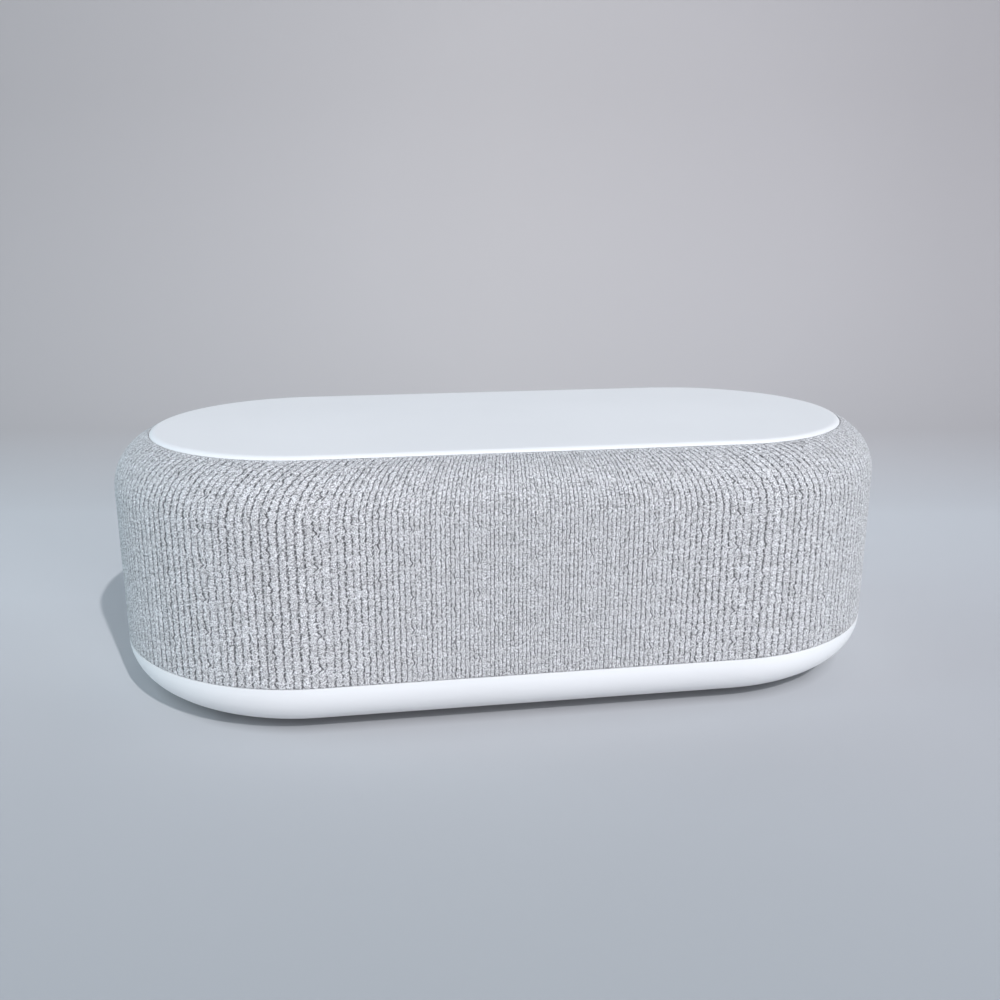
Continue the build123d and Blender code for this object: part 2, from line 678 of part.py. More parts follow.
FRONT_PLUGS = [(BOARD_X + i * PLUG_PITCH, -BOARD_W / 2 + PLUG_D / 2) for i in (-1, 0, 1)]
REAR_PLUGS = [(BOARD_X + i * PLUG_PITCH, BOARD_W / 2 - PLUG_D / 2) for i in (-1, 1)]
BATTERY_PLUG = (BOARD_X - BOARD_L / 2 + PLUG_D / 2, PLUG_L)
with BuildPart() as board_connectors:
    with BuildSketch(Plane.XY.offset(BOARD_TOP)):
        with Locations(*FRONT_PLUGS, *REAR_PLUGS):
            Rectangle(PLUG_L, PLUG_D)
        with Locations(BATTERY_PLUG):
            Rectangle(PLUG_D, PLUG_L)
    extrude(amount=PLUG_H)
board_connectors.part.label = "board_connectors"
export_step(board_connectors.part, "parts/board_connectors.step")

# Battery: two cells between a tray and a cover that are screwed to the base by their ears
BATTERY_L = CELL_L + 2 * CELL_GAP + 2 * TRAY_SKIN
BATTERY_W = CELL_PITCH + 2 * (CELL_R + CELL_GAP + TRAY_SKIN)
CELL_SPOTS = [(-CELL_PITCH / 2, CELL_Z), (CELL_PITCH / 2, CELL_Z)]
CELL_END = Plane(origin=(-CELL_L / 2, 0, 0), x_dir=(0, 1, 0), z_dir=(1, 0, 0))
CELL_ROOM = Plane(origin=(-CELL_L / 2 - CELL_GAP, 0, 0), x_dir=(0, 1, 0), z_dir=(1, 0, 0))
with BuildPart() as battery_tray:
    with BuildSketch(Plane.XY.offset(BASE_FLOOR)):
        Rectangle(BATTERY_L, BATTERY_W)
    extrude(amount=CELL_Z - BASE_FLOOR)
    with BuildSketch(Plane.XY.offset(CELL_Z - EAR_T)):
        Rectangle(BATTERY_L + 2 * EAR_L, EAR_W)
    extrude(amount=EAR_T)
    with BuildSketch(CELL_ROOM):
        with Locations(*CELL_SPOTS):
            Circle(CELL_R + CELL_GAP)
    extrude(amount=CELL_L + 2 * CELL_GAP, mode=Mode.SUBTRACT)
    with BuildSketch(Plane.XY.offset(CELL_Z - EAR_T)):
        with Locations(*EARS):
            Circle(SMALL_R + FIT)
    extrude(amount=EAR_T, mode=Mode.SUBTRACT)
battery_tray.part.label = "battery_tray"
export_step(battery_tray.part, "parts/battery_tray.step")

with BuildPart() as battery_cover:
    with BuildSketch(Plane.XY.offset(CELL_Z)):
        Rectangle(BATTERY_L, BATTERY_W)
    extrude(amount=CELL_R + CELL_GAP + TRAY_SKIN)
    chamfer(battery_cover.edges().group_by(Axis.Z)[-1].filter_by(Axis.X), TRAY_SKIN * 2)
    with BuildSketch(Plane.XY.offset(CELL_Z)):
        Rectangle(BATTERY_L + 2 * EAR_L, EAR_W)
    extrude(amount=EAR_T)
    with BuildSketch(CELL_ROOM):
        with Locations(*CELL_SPOTS):
            Circle(CELL_R + CELL_GAP)
    extrude(amount=CELL_L + 2 * CELL_GAP, mode=Mode.SUBTRACT)
    with BuildSketch(Plane.XY.offset(CELL_Z)):
        with Locations(*EARS):
            Circle(SMALL_R + FIT)
    extrude(amount=EAR_T, mode=Mode.SUBTRACT)
battery_cover.part.label = "battery_cover"
export_step(battery_cover.part, "parts/battery_cover.step")

with BuildPart() as battery_cells:
    with BuildSketch(CELL_END):
        with Locations(*CELL_SPOTS):
            Circle(CELL_R)
    extrude(amount=CELL_L)
battery_cells.part.label = "battery_cells"
export_step(battery_cells.part, "parts/battery_cells.step")

# Rear control insert
with BuildPart() as rear_panel:
    with BuildSketch(rear_face(WALL_R, z=FLAT_MID)):
        RectangleRounded(BEZEL_W, BEZEL_H, BEZEL_CORNER)
    extrude(amount=BEZEL_T)
    fillet(rear_panel.edges().group_by(Axis.Y)[-1], BEZEL_T / 2)
    with BuildSketch(rear_face(BEZEL_Y - PANEL_T, z=FLAT_MID)):
        RectangleRounded(WINDOW_W - 2 * FIT, WINDOW_H - 2 * FIT, WINDOW_CORNER - FIT)
    extrude(amount=PANEL_T - BEZEL_T)
    with BuildSketch(rear_face(CONTROL_Y)):
        with Locations(*PANEL_SCREWS):
            Circle(PANEL_BOSS_R)
    extrude(amount=CONTROL_DEPTH - PANEL_T)
    with BuildSketch(rear_face(BEZEL_Y - USB_POCKET - USB_WALL, z=CONTROL_Z["usb"])):
        RectangleRounded(USB_W + 2 * USB_WALL, USB_H + 2 * USB_WALL, USB_CORNER + USB_WALL)
    extrude(amount=USB_POCKET + USB_WALL - PANEL_T)
    with BuildSketch(rear_face(BEZEL_Y - USB_POCKET, z=CONTROL_Z["usb"])):
        RectangleRounded(USB_W, USB_H, USB_CORNER)
    extrude(amount=USB_POCKET, mode=Mode.SUBTRACT)
    with BuildSketch(rear_face(BEZEL_Y - USB_POCKET - USB_WALL, z=CONTROL_Z["usb"])):
        SlotOverall(SOCKET_W + 2 * SLIP, SOCKET_H + 2 * SLIP)
    extrude(amount=USB_WALL, mode=Mode.SUBTRACT)
    with BuildSketch(rear_face(BEZEL_Y - PANEL_T)):
        with Locations(*[(0, CONTROL_Z[n]) for n in BUTTONS]):
            Circle(BUTTON_R + FIT)
        with Locations((0, CONTROL_Z["mute"])):
            Rectangle(MUTE_W + MUTE_STROKE + 2 * FIT, MUTE_H + 2 * FIT)
    extrude(amount=PANEL_T, mode=Mode.SUBTRACT)
    with BuildSketch(rear_face(CONTROL_Y)):
        with Locations(*PANEL_SCREWS):
            Circle(SMALL_R + SLIP)
    extrude(amount=CONTROL_DEPTH - PANEL_T, mode=Mode.SUBTRACT)
rear_panel.part.label = "rear_panel"
export_step(rear_panel.part, "parts/rear_panel.step")

SWITCH_Y = CONTROL_Y + SWITCH_H
for name in BUTTONS:
    with BuildPart() as button:
        with BuildSketch(rear_face(BEZEL_Y - PANEL_T, z=CONTROL_Z[name])):
            Circle(BUTTON_R)
        extrude(amount=PANEL_T + BUTTON_PROUD)
        fillet(button.edges().group_by(Axis.Y)[-1], BUTTON_PROUD)
        with BuildSketch(rear_face(BEZEL_Y - PANEL_T - BUTTON_FLANGE_T, z=CONTROL_Z[name])):
            Circle(BUTTON_R + BUTTON_FLANGE)
        extrude(amount=BUTTON_FLANGE_T)
        with BuildSketch(rear_face(SWITCH_Y - BUTTON_STROKE, z=CONTROL_Z[name])):
            Circle(BUTTON_STEM_R)
        extrude(amount=BEZEL_Y - PANEL_T - BUTTON_FLANGE_T - SWITCH_Y + BUTTON_STROKE)
    button.part.label = name + "_button"
    export_step(button.part, "parts/" + name + "_button.step")

MUTE_REST = MUTE_STROKE / 2
MUTE_BACK = BEZEL_Y - PANEL_T - SLIP
with BuildPart() as mute_slider:
    with BuildSketch(rear_face(MUTE_BACK, -MUTE_REST, CONTROL_Z["mute"])):
        Rectangle(MUTE_W, MUTE_H)
    extrude(amount=BEZEL_Y + BUTTON_PROUD - MUTE_BACK)
    chamfer(mute_slider.edges().group_by(Axis.Y)[-1], BUTTON_PROUD / 2)
    with BuildSketch(rear_face(MUTE_BACK - BUTTON_FLANGE_T, -MUTE_REST, CONTROL_Z["mute"])):
        Rectangle(MUTE_W + 2 * MUTE_STROKE + MUTE_PLATE_LAP, MUTE_H + 2 * MUTE_PLATE_LAP)
    extrude(amount=BUTTON_FLANGE_T)
    with BuildSketch(rear_face(SWITCH_Y - BUTTON_STROKE, -MUTE_REST, CONTROL_Z["mute"])):
        Rectangle(MUTE_LEVER, MUTE_LEVER)
    extrude(amount=MUTE_BACK - BUTTON_FLANGE_T - SWITCH_Y + BUTTON_STROKE)
mute_slider.part.label = "mute_slider"
export_step(mute_slider.part, "parts/mute_slider.step")

with BuildPart() as io_board:
    with BuildSketch(rear_face(CONTROL_Y - BOARD_T)):
        with Locations((0, FLAT_MID)):
            Rectangle(FRAME_W, FRAME_H)
        with Locations(*PANEL_SCREWS):
            Circle(SMALL_R + FIT, mode=Mode.SUBTRACT)
    extrude(amount=BOARD_T)
io_board.part.label = "io_board"
export_step(io_board.part, "parts/io_board.step")

with BuildPart() as button_switches:
    with BuildSketch(rear_face(CONTROL_Y)):
        with Locations(*[(0, CONTROL_Z[n]) for n in BUTTONS]):
            Rectangle(SWITCH_SIDE, SWITCH_SIDE)
    extrude(amount=SWITCH_H)
    with BuildSketch(rear_face(SWITCH_Y - SWITCH_WELL)):
        with Locations(*[(0, CONTROL_Z[n]) for n in BUTTONS]):
            Circle(BUTTON_STEM_R + FIT)
    extrude(amount=SWITCH_WELL, mode=Mode.SUBTRACT)
button_switches.part.label = "button_switches"
export_step(button_switches.part, "parts/button_switches.step")

with BuildPart() as mute_switch:
    with BuildSketch(rear_face(CONTROL_Y, z=CONTROL_Z["mute"])):
        Rectangle(2 * MUTE_STROKE + MUTE_LEVER + 2 * FIT, MUTE_LEVER + MUTE_H)
    extrude(amount=SWITCH_H)
    with BuildSketch(rear_face(SWITCH_Y - SWITCH_WELL, z=CONTROL_Z["mute"])):
        Rectangle(MUTE_STROKE + MUTE_LEVER + 2 * FIT, MUTE_LEVER + 2 * FIT)
    extrude(amount=SWITCH_WELL, mode=Mode.SUBTRACT)
mute_switch.part.label = "mute_switch"
export_step(mute_switch.part, "parts/mute_switch.step")

with BuildPart() as usb_socket:
    with BuildSketch(rear_face(CONTROL_Y, z=CONTROL_Z["usb"])):
        SlotOverall(SOCKET_W, SOCKET_H)
    extrude(amount=CONTROL_DEPTH - USB_POCKET)
    with BuildSketch(rear_face(CONTROL_Y + SOCKET_SKIN, z=CONTROL_Z["usb"])):
        SlotOverall(SOCKET_W - 2 * SOCKET_SKIN, SOCKET_H - 2 * SOCKET_SKIN)
    extrude(amount=CONTROL_DEPTH - USB_POCKET, mode=Mode.SUBTRACT)
    with BuildSketch(rear_face(CONTROL_Y, z=CONTROL_Z["usb"])):
        Rectangle(SOCKET_TONGUE_W, SOCKET_TONGUE_T)
    extrude(amount=CONTROL_DEPTH - USB_POCKET - SOCKET_TONGUE_T)
usb_socket.part.label = "usb_socket"
export_step(usb_socket.part, "parts/usb_socket.step")

# Small screws of the boards, the battery ears and the control board
with BuildPart() as board_screws:
    for spots, seat, low in (
        (MAIN_HOLES + CHARGER_HOLES, BOARD_TOP, BASE_FLOOR + SLIP),
        (EARS, CELL_Z + EAR_T, BASE_FLOOR + SLIP),
    ):
        with BuildSketch(Plane.XY.offset(seat)):
            with Locations(*spots):
                Circle(SMALL_HEAD_R)
        extrude(amount=SMALL_HEAD_T)
        with BuildSketch(Plane.XY.offset(low)):
            with Locations(*spots):
                Circle(SMALL_R)
        extrude(amount=seat - low)
    with BuildSketch(rear_face(CONTROL_Y - BOARD_T - SMALL_HEAD_T)):
        with Locations(*PANEL_SCREWS):
            Circle(SMALL_HEAD_R)
    extrude(amount=SMALL_HEAD_T)
    with BuildSketch(rear_face(CONTROL_Y - BOARD_T)):
        with Locations(*PANEL_SCREWS):
            Circle(SMALL_R)
    extrude(amount=BOARD_T + CONTROL_DEPTH - PANEL_T - SLIP)
board_screws.part.label = "board_screws"
export_step(board_screws.part, "parts/board_screws.step")

# Microphone board on the front wall between the drivers
with BuildPart() as mic_board:
    with BuildSketch(front_face(-SEAT_H + MIC_T, 0, SHOULDER_Z - MIC_H)):
        Rectangle(MIC_L, MIC_H)
        with Locations((-MIC_X - MIC_CAN_L / 2, 0), (MIC_X + MIC_CAN_L / 2, 0)):
            Circle(MIC_PIN_R + SLIP, mode=Mode.SUBTRACT)
        with Locations((-MIC_X / 2, 0), (MIC_X / 2, 0)):
            Circle(MIC_PORT_R, mode=Mode.SUBTRACT)
    extrude(amount=MIC_T)
mic_board.part.label = "mic_board"
export_step(mic_board.part, "parts/mic_board.step")

with BuildPart() as mic_capsules:
    with BuildSketch(front_face(-SEAT_H + MIC_T + MIC_CAN_T, 0, SHOULDER_Z - MIC_H)):
        with Locations((-MIC_X / 2, 0), (MIC_X / 2, 0)):
            Rectangle(MIC_CAN_L, MIC_CAN_L)
    extrude(amount=MIC_CAN_T)
mic_capsules.part.label = "mic_capsules"
export_step(mic_capsules.part, "parts/mic_capsules.step")

# Drivers
with BuildPart() as driver_gaskets:
    with BuildSketch(front_face(SEAL_T)):
        for x in (-DRIVER_X, DRIVER_X):
            with Locations((x, FLAT_MID)):
                Circle(RIM_R)
                Circle(SEAL_EYE_R, mode=Mode.SUBTRACT)
                with Locations(*RIM_SCREWS):
                    Circle(SMALL_R + FIT, mode=Mode.SUBTRACT)
    extrude(amount=SEAL_T)
driver_gaskets.part.label = "driver_gaskets"
export_step(driver_gaskets.part, "parts/driver_gaskets.step")

TERMINAL_Z = FLAT_MID - BASKET_BACK_R - TERMINAL_T
# The dome of each cone is part of a sphere, front and back
DOME_R = (COIL_TUBE_R**2 + DOME_RISE**2) / (2 * DOME_RISE)
DOME_C = NECK_A - CONE_T - DOME_RISE + DOME_R
DOME_FRONT = (COIL_TUBE_R / 2, DOME_C - math.sqrt(DOME_R**2 - (COIL_TUBE_R / 2) ** 2))
DOME_BACK_R = COIL_TUBE_R - CONE_T
DOME_BACK_A = DOME_C - math.sqrt((DOME_R - CONE_T) ** 2 - DOME_BACK_R**2)
DOME_BACK = (DOME_BACK_R / 2, DOME_C - math.sqrt((DOME_R - CONE_T) ** 2 - (DOME_BACK_R / 2) ** 2))
for side, x in (("left", -DRIVER_X), ("right", DRIVER_X)):
    with BuildPart() as basket:
        with BuildSketch(front_section(x)):
            with BuildLine():
                Polyline(
                    (RIM_R, SEAL_T),
                    (RIM_R, SEAL_T + RIM_T),
                    (RIM_EYE_R + BASKET_WALL, SEAL_T + RIM_T),
                    (BASKET_BACK_R, LEDGE_A),
                    (BASKET_BACK_R, MOTOR_A),
                    (MAGNET_EYE_R, MOTOR_A),
                    (MAGNET_EYE_R, MOTOR_A - BASKET_WALL),
                    (SPIDER_R - BASKET_WALL, MOTOR_A - BASKET_WALL),
                    (SPIDER_R - BASKET_WALL, LEDGE_A),
                    (BASKET_BACK_R - BASKET_WALL, LEDGE_A),
                    (RIM_EYE_R, SEAL_T + RIM_T),
                    (RIM_EYE_R, SEAL_T),
                    close=True,
                )
            make_face()
        revolve(axis=unit_axis(x, -SEAT_Y))
        # Four vents between the legs
        with BuildSketch(Plane(origin=(x, -SEAT_Y + (SEAL_T + RIM_T + LEDGE_A) / 2, FLAT_MID))):
            Rectangle(3 * RIM_R, (LEDGE_A - SEAL_T - RIM_T) / 2)
        extrude(amount=WASHER_R / 2, both=True, mode=Mode.SUBTRACT)
        with BuildSketch(front_face(SEAL_T + RIM_T, x, FLAT_MID)):
            with Locations(*RIM_SCREWS):
                Circle(SMALL_R + SLIP)
        extrude(amount=RIM_T, mode=Mode.SUBTRACT)
        # Terminal block under the basket
        with BuildSketch(Plane(origin=(x, -SEAT_Y + LEDGE_A, TERMINAL_Z))):
            Rectangle(TERMINAL_W, TERMINAL_L)
        extrude(amount=TERMINAL_T + BASKET_WALL / 2)
    basket.part.label = side + "_basket"
    export_step(basket.part, "parts/" + side + "_basket.step")

    with BuildPart() as surround:
        roll_r = (RIM_EYE_R - CONE_R) / 2
        roll_c = (RIM_EYE_R + CONE_R) / 2
        with BuildSketch(front_section(x)):
            with BuildLine():
                Polyline(
                    (CONE_R - CONE_LIP, CONE_A),
                    *half_roll(roll_c, CONE_A, roll_r - ROLL_T),
                    (GLUE_R, CONE_A),
                    (GLUE_R, CONE_A - ROLL_T),
                    *reversed(half_roll(roll_c, CONE_A - ROLL_T, roll_r)),
                    (CONE_R - CONE_LIP, CONE_A - ROLL_T),
                    close=True,
                )
            make_face()
        revolve(axis=unit_axis(x, -SEAT_Y))
    surround.part.label = side + "_surround"
    export_step(surround.part, "parts/" + side + "_surround.step")

    # Paper cone and its centre dome in one piece
    with BuildPart() as cone:
        with BuildSketch(front_section(x)):
            with BuildLine():
                Line((0, DOME_C - DOME_R + CONE_T), (0, DOME_C - DOME_R))
                ThreePointArc((0, DOME_C - DOME_R), DOME_FRONT, (COIL_TUBE_R, NECK_A - CONE_T))
                Polyline(
                    (COIL_TUBE_R, NECK_A - CONE_T),
                    (CONE_R - CONE_LIP, CONE_A),
                    (CONE_R, CONE_A),
                    (CONE_R, CONE_A + CONE_T),
                    (CONE_R - CONE_LIP, CONE_A + CONE_T),
                    (COIL_TUBE_R + CONE_T, TUBE_A),
                    (DOME_BACK_R, TUBE_A),
                    (DOME_BACK_R, DOME_BACK_A),
                )
                ThreePointArc((DOME_BACK_R, DOME_BACK_A), DOME_BACK, (0, DOME_C - DOME_R + CONE_T))
            make_face()
        revolve(axis=unit_axis(x, -SEAT_Y))
    cone.part.label = side + "_cone"
    export_step(cone.part, "parts/" + side + "_cone.step")

    with BuildPart() as voice_coil:
        with BuildSketch(front_section(x)):
            with BuildLine():
                Polyline(
                    (COIL_TUBE_R, TUBE_A),
                    (COIL_TUBE_R, TUBE_A + TUBE_L),
                    (COIL_TUBE_R + WINDING_T, TUBE_A + TUBE_L),
                    (COIL_TUBE_R + WINDING_T, TUBE_A + TUBE_L - WINDING_L),
                    (COIL_TUBE_R + COIL_TUBE_T, TUBE_A + TUBE_L - WINDING_L),
                    (COIL_TUBE_R + COIL_TUBE_T, TUBE_A),
                    close=True,
                )
            make_face()
        revolve(axis=unit_axis(x, -SEAT_Y))
    voice_coil.part.label = side + "_voice_coil"
    export_step(voice_coil.part, "parts/" + side + "_voice_coil.step")

    # Corrugated spider from the coil tube to the ledge of the basket
    with BuildPart() as spider:
        spider_eye = COIL_TUBE_R + COIL_TUBE_T + SLIP
        wave = (SPIDER_R - BASKET_WALL - spider_eye) / 4
        with BuildSketch(front_section(x)):
            with BuildLine():
                Polyline(
                    (spider_eye, SPIDER_A),
                    (spider_eye + wave, SPIDER_A - SPIDER_T),
                    (spider_eye + 2 * wave, SPIDER_A + SPIDER_T),
                    (spider_eye + 3 * wave, SPIDER_A - SPIDER_T),
                    (spider_eye + 4 * wave, SPIDER_A),
                    (SPIDER_R, SPIDER_A),
                    (SPIDER_R, LEDGE_A),
                    (spider_eye + 4 * wave, LEDGE_A),
                    (spider_eye + 3 * wave, LEDGE_A - SPIDER_T),
                    (spider_eye + 2 * wave, LEDGE_A + SPIDER_T),
                    (spider_eye + wave, LEDGE_A - SPIDER_T),
                    (spider_eye, LEDGE_A),
                    close=True,
                )
            make_face()
        revolve(axis=unit_axis(x, -SEAT_Y))
    spider.part.label = side + "_spider"
    export_step(spider.part, "parts/" + side + "_spider.step")

    with BuildPart() as washer:
        with BuildSketch(front_face(MOTOR_A + WASHER_T, x, FLAT_MID)):
            Circle(WASHER_R)
            Circle(GAP_R, mode=Mode.SUBTRACT)
        extrude(amount=WASHER_T)
    washer.part.label = side + "_washer"
    export_step(washer.part, "parts/" + side + "_washer.step")

    with BuildPart() as magnet:
        with BuildSketch(front_face(MOTOR_A + WASHER_T + MAGNET_T, x, FLAT_MID)):
            Circle(MAGNET_R)
            Circle(MAGNET_EYE_R, mode=Mode.SUBTRACT)
        extrude(amount=MAGNET_T)
    magnet.part.label = side + "_magnet"
    export_step(magnet.part, "parts/" + side + "_magnet.step")

    with BuildPart() as yoke:
        with BuildSketch(front_face(MOTOR_A + WASHER_T + MAGNET_T + YOKE_T, x, FLAT_MID)):
            Circle(WASHER_R)
        extrude(amount=YOKE_T)
        with BuildSketch(front_face(MOTOR_A + WASHER_T + MAGNET_T, x, FLAT_MID)):
            Circle(POLE_R)
        extrude(amount=WASHER_T + MAGNET_T)
    yoke.part.label = side + "_yoke"
    export_step(yoke.part, "parts/" + side + "_yoke.step")

    # Passive radiator on the rear wall
    with BuildPart() as frame:
        with BuildSketch(rear_face(SEAT_Y - RIM_T, x, FLAT_MID)):
            Circle(RIM_R)
            Circle(RIM_EYE_R, mode=Mode.SUBTRACT)
            with Locations(*RIM_SCREWS):
                Circle(SMALL_R + SLIP, mode=Mode.SUBTRACT)
        extrude(amount=RIM_T)
    frame.part.label = side + "_radiator_frame"
    export_step(frame.part, "parts/" + side + "_radiator_frame.step")

    with BuildPart() as cuff:
        cuff_a = RIM_T
        cuff_r = (RIM_EYE_R - RADIATOR_R) / 2
        cuff_c = (RIM_EYE_R + RADIATOR_R) / 2
        with BuildSketch(rear_section(x)):
            with BuildLine():
                Polyline(
                    (RADIATOR_R - CONE_LIP, cuff_a),
                    *half_roll(cuff_c, cuff_a, cuff_r),
                    (GLUE_R - ROLL_T, cuff_a),
                    (GLUE_R - ROLL_T, cuff_a + ROLL_T),
                    *reversed(half_roll(cuff_c, cuff_a + ROLL_T, cuff_r - ROLL_T)),
                    (RADIATOR_R - CONE_LIP, cuff_a + ROLL_T),
                    close=True,
                )
            make_face()
        revolve(axis=unit_axis(x, SEAT_Y))
    cuff.part.label = side + "_radiator_surround"
    export_step(cuff.part, "parts/" + side + "_radiator_surround.step")

    with BuildPart() as plate:
        with BuildSketch(rear_face(SEAT_Y - RIM_T, x, FLAT_MID)):
            Circle(RADIATOR_R)
        extrude(amount=RADIATOR_T)
        with BuildSketch(rear_face(SEAT_Y - RIM_T - WEIGHT_T, x, FLAT_MID)):
            Circle(WEIGHT_R)
        extrude(amount=WEIGHT_T)
    plate.part.label = side + "_radiator_plate"
    export_step(plate.part, "parts/" + side + "_radiator_plate.step")

# Screws of the drivers and the radiators
with BuildPart() as speaker_screws:
    for x in (-DRIVER_X, DRIVER_X):
        for spot, grip in (
            (Plane(origin=(x, -SEAT_Y + SEAL_T + RIM_T, FLAT_MID), x_dir=(-1, 0, 0), z_dir=(0, 1, 0)), SEAL_T),
            (Plane(origin=(x, SEAT_Y - RIM_T, FLAT_MID), x_dir=(1, 0, 0), z_dir=(0, -1, 0)), 0),
        ):
            with BuildSketch(spot):
                with Locations(*RIM_SCREWS):
                    Circle(SMALL_HEAD_R)
            extrude(amount=SMALL_HEAD_T)
            with BuildSketch(spot):
                with Locations(*RIM_SCREWS):
                    Circle(SMALL_R)
            extrude(amount=-(RIM_T + grip + SEAT_H))
speaker_screws.part.label = "speaker_screws"
export_step(speaker_screws.part, "parts/speaker_screws.step")

# Leads inside the case, each from its board or unit to a plug
PLUG_MID = BOARD_TOP + PLUG_H / 2
PLUG_FACE = BOARD_W / 2
LEAD_Y = -SEAT_Y + LEDGE_A
with BuildPart() as speaker_leads:
    with BuildLine() as left_run:
        FilletPolyline(
            (-DRIVER_X, LEAD_Y, TERMINAL_Z),
            (-DRIVER_X, LEAD_Y, PLUG_MID),
            (-DRIVER_X, -PLUG_FACE - LEAD_RUN, PLUG_MID),
            (FRONT_PLUGS[0][0], -PLUG_FACE - LEAD_RUN, PLUG_MID),
            (FRONT_PLUGS[0][0], -PLUG_FACE, PLUG_MID),
            radius=LEAD_BEND,
        )
    with BuildSketch(Plane(origin=(-DRIVER_X, LEAD_Y, TERMINAL_Z), z_dir=(0, 0, -1))) as left_end:
        Circle(LEAD_R)
    sweep(left_end.sketch, path=left_run.line)
    with BuildLine() as right_run:
        FilletPolyline(
            (DRIVER_X, LEAD_Y, TERMINAL_Z),
            (DRIVER_X, LEAD_Y, PLUG_MID),
            (FRONT_PLUGS[1][0], LEAD_Y, PLUG_MID),
            (FRONT_PLUGS[1][0], -PLUG_FACE, PLUG_MID),
            radius=LEAD_BEND,
        )
    with BuildSketch(Plane(origin=(DRIVER_X, LEAD_Y, TERMINAL_Z), z_dir=(0, 0, -1))) as right_end:
        Circle(LEAD_R)
    sweep(right_end.sketch, path=right_run.line)
speaker_leads.part.label = "speaker_leads"
export_step(speaker_leads.part, "parts/speaker_leads.step")

with BuildPart() as battery_lead:
    with BuildSketch(Plane(origin=(EAR_X, BATTERY_PLUG[1], PLUG_MID), x_dir=(0, 1, 0), z_dir=(1, 0, 0))):
        with GridLocations(PLUG_L / 2, 0, 2, 1):
            Circle(LEAD_R)
    extrude(amount=BOARD_X - BOARD_L / 2 - EAR_X)
battery_lead.part.label = "battery_lead"
export_step(battery_lead.part, "parts/battery_lead.step")

COIL_LEAD_Z = TRAY_LOW / 2
with BuildPart() as coil_lead:
    with BuildLine() as coil_run:
        FilletPolyline(
            (-COIL_R, COIL_PLUG[1], TRAY_LOW),
            (-COIL_R, COIL_PLUG[1], COIL_LEAD_Z + LEAD_RUN),
            (COIL_PLUG[0], COIL_PLUG[1], COIL_LEAD_Z),
            (COIL_PLUG[0], COIL_PLUG[1], BOARD_TOP + PLUG_H),
            radius=LEAD_BEND,
        )
    with BuildSketch(Plane(origin=(-COIL_R, COIL_PLUG[1], TRAY_LOW), z_dir=(0, 0, -1))) as coil_end:
        Circle(LEAD_R)
    sweep(coil_end.sketch, path=coil_run.line)
coil_lead.part.label = "coil_lead"
export_step(coil_lead.part, "parts/coil_lead.step")

MIC_LEAD_Z = SHOULDER_Z - MIC_H - MIC_CAN_L
MIC_LEAD_Y = -SEAT_Y + MOTOR_BACK_A + LEAD_RUN
IO_LEAD_Z = (CONTROL_Z["usb"] + CONTROL_Z["power"]) / 2
IO_LEAD_Y = CONTROL_Y - BOARD_T - 2 * LEAD_BEND
with BuildPart() as board_leads:
    with BuildLine() as mic_run:
        FilletPolyline(
            (0, -HOUSING_IN_R + MIC_T, MIC_LEAD_Z),
            (0, MIC_LEAD_Y, MIC_LEAD_Z),
            (*FRONT_PLUGS[2], MIC_LEAD_Z),
            (*FRONT_PLUGS[2], BOARD_TOP + PLUG_H),
            radius=LEAD_BEND,
        )
    with BuildSketch(Plane(origin=(0, -HOUSING_IN_R + MIC_T, MIC_LEAD_Z), z_dir=(0, 1, 0))) as mic_end:
        Circle(LEAD_R)
    sweep(mic_end.sketch, path=mic_run.line)
    with BuildLine() as io_run:
        FilletPolyline(
            (0, CONTROL_Y - BOARD_T, IO_LEAD_Z),
            (0, IO_LEAD_Y, IO_LEAD_Z),
            (0, IO_LEAD_Y, PLUG_MID),
            (REAR_PLUGS[1][0], IO_LEAD_Y, PLUG_MID),
            (REAR_PLUGS[1][0], PLUG_FACE, PLUG_MID),
            radius=LEAD_BEND,
        )
    with BuildSketch(Plane(origin=(0, CONTROL_Y - BOARD_T, IO_LEAD_Z), z_dir=(0, -1, 0))) as io_end:
        Circle(LEAD_R)
    sweep(io_end.sketch, path=io_run.line)
    with BuildLine() as supply_run:
        FilletPolyline(
            (CHARGER_PLUG[0], CHARGER_W / 2, PLUG_MID),
            (CHARGER_PLUG[0], PLUG_FACE + LEAD_RUN, PLUG_MID),
            (REAR_PLUGS[0][0], PLUG_FACE + LEAD_RUN, PLUG_MID),
            (REAR_PLUGS[0][0], PLUG_FACE, PLUG_MID),
            radius=LEAD_BEND,
        )
    with BuildSketch(Plane(origin=(CHARGER_PLUG[0], CHARGER_W / 2, PLUG_MID), z_dir=(0, 1, 0))) as supply_end:
        Circle(LEAD_R)
    sweep(supply_end.sketch, path=supply_run.line)
board_leads.part.label = "board_leads"
export_step(board_leads.part, "parts/board_leads.step")
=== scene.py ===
import json
import math

